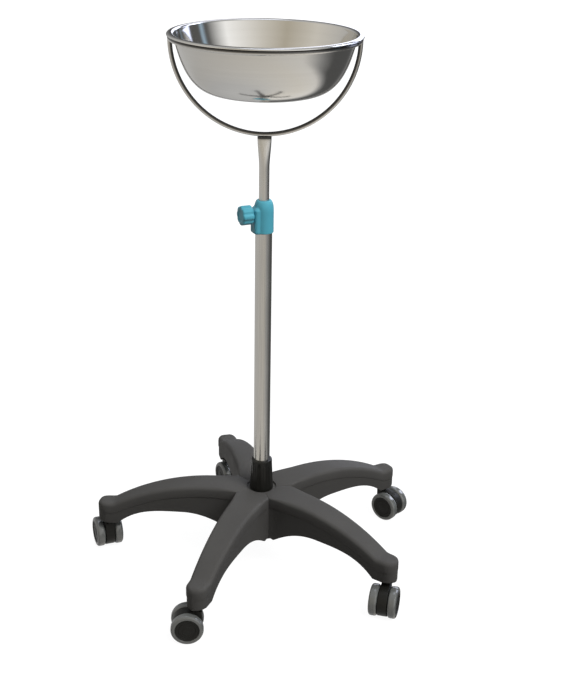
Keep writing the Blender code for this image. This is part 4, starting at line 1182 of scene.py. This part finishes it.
def add_clamp_collar():
    """The collar: a round body with sloping shoulders, blended into the boss on the side of the knob."""
    edges = (0.0, COLLAR_EDGE, collar_shoulder, COLLAR_HEIGHT)
    heights = [0.0]
    for start, end, count in zip(edges, edges[1:], COLLAR_STATIONS):
        heights += spread(start, end, count)[1:]
    rings = []
    for height in heights:
        body = collar_body_radius(height)
        over = max(0.0, height - (COLLAR_BOSS_HEIGHT - COLLAR_BOSS_STAND)) / COLLAR_BOSS_STAND
        inset = COLLAR_BOSS_STAND * min(over, COLLAR_BOSS_TAPER) + max(0.0, COLLAR_EDGE + SEAT_GAP - height)
        radii = []
        for angle in turns(COLLAR_SIDES):
            boss = 0.0
            if cos(angle) > COLLAR_BOSS_BACK_COSINE:
                boss = boss_reach(min(angle, 2 * pi - angle), 1.0 - inset / collar_face)
            radii.append(smooth_max(body, boss, COLLAR_FILLET))
        rings.append(collar_ring(radii, collar_foot + height))
    mouth_top = outer_top + BUSH_FLANGE + 2 * SEAT_GAP
    throat = inner_radius + RUNNING_GAP
    mouth = outer_radius + SEAT_GAP
    inside = ((throat, collar_top), (throat, mouth_top), (mouth, mouth_top), (mouth, collar_foot))
    for radius, height in inside:
        rings.append(collar_ring([radius] * COLLAR_SIDES, height))
    bores = (
        (INSERT_DIAMETER / 2 + SEAT_GAP, collar_face - INSERT_LENGTH - SEAT_GAP),
        (screw_radius + RUNNING_GAP, 0.0),
    )
    cutters = []
    for radius, start in bores:
        cutter = helper(pin_mesh(radius, start, collar_face + OVERCUT))
        cutter.matrix_world = clamp_matrix()
        cutters.append(cutter)
    mesh = loft_mesh(rings, closed=True)
    mesh = shaped(mesh, "EXACT", cutters, COLLAR_SMOOTH_ANGLE)
    add_piece("collar_moulding", mesh, TEAL_PLASTIC, "base", "clamp_collar")


def add_knob():
    """The knob: shallow lobes with round edges, a dished end and a hub that stands off the collar."""
    start = knob_face + KNOB_HUB_LENGTH
    end = start + KNOB_THICKNESS
    bore = screw_radius + SEAT_GAP
    bore_end = knob_face + SCREW_IN_KNOB + SEAT_GAP
    hub = KNOB_HUB_DIAMETER / 2
    round_at = KNOB_DIAMETER / 2 - KNOB_EDGE
    face = round_at * KNOB_FACE_SHARE
    # Each level: its radius, its height, and how far it has lobes
    levels = [(bore, bore_end, 0.0), (bore, knob_face, 0.0), (hub - KNOB_HUB_EDGE, knob_face, 0.0)]
    levels += [(hub, knob_face + KNOB_HUB_EDGE, 0.0), (hub, start, 0.0)]
    for height, first, last in ((start + KNOB_EDGE, -90.0, 0.0), (end - KNOB_EDGE, 0.0, 90.0)):
        rounded = arc((round_at, height), KNOB_EDGE, first, last, SOFT_STEPS)
        levels += [(across, rise, 1.0) for across, rise in rounded]
    levels += [(face + KNOB_FACE_DISH, end, 0.0), (face, end - KNOB_FACE_DISH, 0.0)]
    rings = [[(0.0, 0.0, bore_end)]]
    for across, height, lobed in levels:
        ring = []
        for angle in turns(KNOB_LOBES * LOBE_SIDES):
            valley = (0.5 - 0.5 * cos(KNOB_LOBES * angle)) ** 2
            ring.append(polar(across - lobed * KNOB_LOBE_DEPTH * valley, angle, height))
        rings.append(ring)
    rings.append([(0.0, 0.0, end - KNOB_FACE_DISH)])
    mesh = loft_mesh(rings, angle=LOBE_SMOOTH_ANGLE)
    add_piece("lobed_knob", mesh, TEAL_PLASTIC, "clamp_knob", "knob", clamp_matrix())


def dress_inner_nodes():
    """Dresses the part's own solids that stay: inside the column and the castors, and below the hub."""
    zinc = ["foot_plug", "base_bolt", "base_washer", "clamp_screw"]
    zinc += [f"{leg}_castor_axle" for leg in LEG_NAMES]
    nylon = ["guide_bush", "lower_guide", "thrust_pad"]
    for material, names in ((ZINC_STEEL, zinc), (BRASS, ["thread_insert"]), (WHITE_NYLON, nylon)):
        for name in names:
            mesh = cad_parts[name].data
            mesh.materials.clear()
            mesh.materials.append(material)


# Stage
def add_floor():
    form = bmesh.new()
    bmesh.ops.create_grid(form, x_segments=1, y_segments=1, size=FLOOR_SIZE)
    floor = linked("floor", mesh_from(form))
    material, tree, shader = new_material("pale_floor", 0.0)
    colour = ramp(tree, noise(tree, object_coordinates(tree), FLOOR_MOTTLE), FLOOR_TONES)
    fill(tree, shader, {"Base Color": colour, "Roughness": FLOOR_ROUGHNESS})
    fill(tree, shader, {"Emission Color": WHITE, "Emission Strength": FLOOR_GLOW})
    floor.data.materials.append(material)
    floor.visible_diffuse = False
    floor.visible_glossy = False


def add_camera():
    data = bpy.data.cameras.new("camera")
    data.sensor_width = CAMERA_SENSOR
    data.lens = CAMERA_SENSOR * CAMERA_FOCAL_PIXELS / FRAME_LONG_SIDE
    camera = linked("camera", data)
    turn = rotated((-CAMERA_YAW, "Z"), (90.0 - CAMERA_PITCH, "X"), (CAMERA_ROLL, "Z"))
    camera.matrix_world = Matrix.Translation(CAMERA_PLACE) @ turn
    bpy.context.scene.camera = camera


def add_world():
    """A pale studio: white to the camera, and to the metal a soft room that is darker on the right."""
    world = bpy.data.worlds.new("studio")
    scene.world = world
    world.use_nodes = True
    tree = world.node_tree
    direction = shader_node(tree, "TexCoord").outputs["Generated"]
    parted = parts_of(tree, direction)
    height = parted["Z"]
    turn = math_node(tree, "ARCTAN2", parted["X"], math_node(tree, "MULTIPLY", parted["Y"], -1.0))
    around = scaled(tree, turn, 0.0, 1.0, -pi, pi)
    below = scaled(tree, height, 1.0 - TWIST_START, 0.0, -1.0, -TWIST_START)
    lag = math_node(tree, "MULTIPLY_ADD", below, -TWIST, around)
    gain = math_node(tree, "MULTIPLY_ADD", below, DEEP_GAIN, 1.0)
    room = gained(tree, ramp(tree, lag, DEEP_TONES), gain)
    for edge, tones in ((DEEP_TOP, LOW_TONES), (WALL_FOOT, WALL_TONES)):
        room = blend(tree, scaled(tree, height, 0.0, 1.0, *edge), room, ramp(tree, around, tones))
    room = blend(tree, scaled(tree, height, 0.0, 1.0, *WALL_TOP), room, CEILING_COLOUR)
    for colour, sides, ends in WINDOWS:
        pane = math_node(tree, "MULTIPLY", band(tree, around, *sides), band(tree, height, *ends))
        room = blend(tree, pane, room, colour)
    lamp = {0: direction, 1: Vector(LAMP_DIRECTION).normalized()}
    lamp = vector_node(tree, "DOT_PRODUCT", "Value", lamp)
    room = blend(tree, scaled(tree, lamp, 0.0, 1.0, *LAMP_EDGE), room, LAMP_COLOUR)
    path = shader_node(tree, "LightPath").outputs
    room = gained(tree, room, scaled(tree, path["Is Diffuse Ray"], 1.0, FILL_SHARE, 0.0, 1.0))
    shown = blend(tree, path["Is Camera Ray"], room, WHITE)
    fill(tree, tree.nodes["Background"], {"Color": shown, "Strength": 1.0})


def add_sun(name, place, power, width, colour):
    data = bpy.data.lights.new(name, "SUN")
    data.energy = power
    data.angle = radians(width)
    data.color = colour
    light = linked(name, data)
    light.location = place
    light.rotation_euler = (-Vector(place)).to_track_quat("-Z", "Y").to_euler()
    light.visible_glossy = False


def add_stage():
    add_floor()
    add_world()
    add_camera()
    for sun in SUNS:
        add_sun(*sun)
    scene.view_settings.view_transform = "Standard"


add_star_base()
add_castors()
add_column_sleeve()
add_outer_tube()
add_inner_tube()
add_yoke_hoop()
add_support_ring()
add_bowl()
add_clamp_collar()
add_knob()
dress_inner_nodes()
add_stage()
bpy.context.view_layer.update()
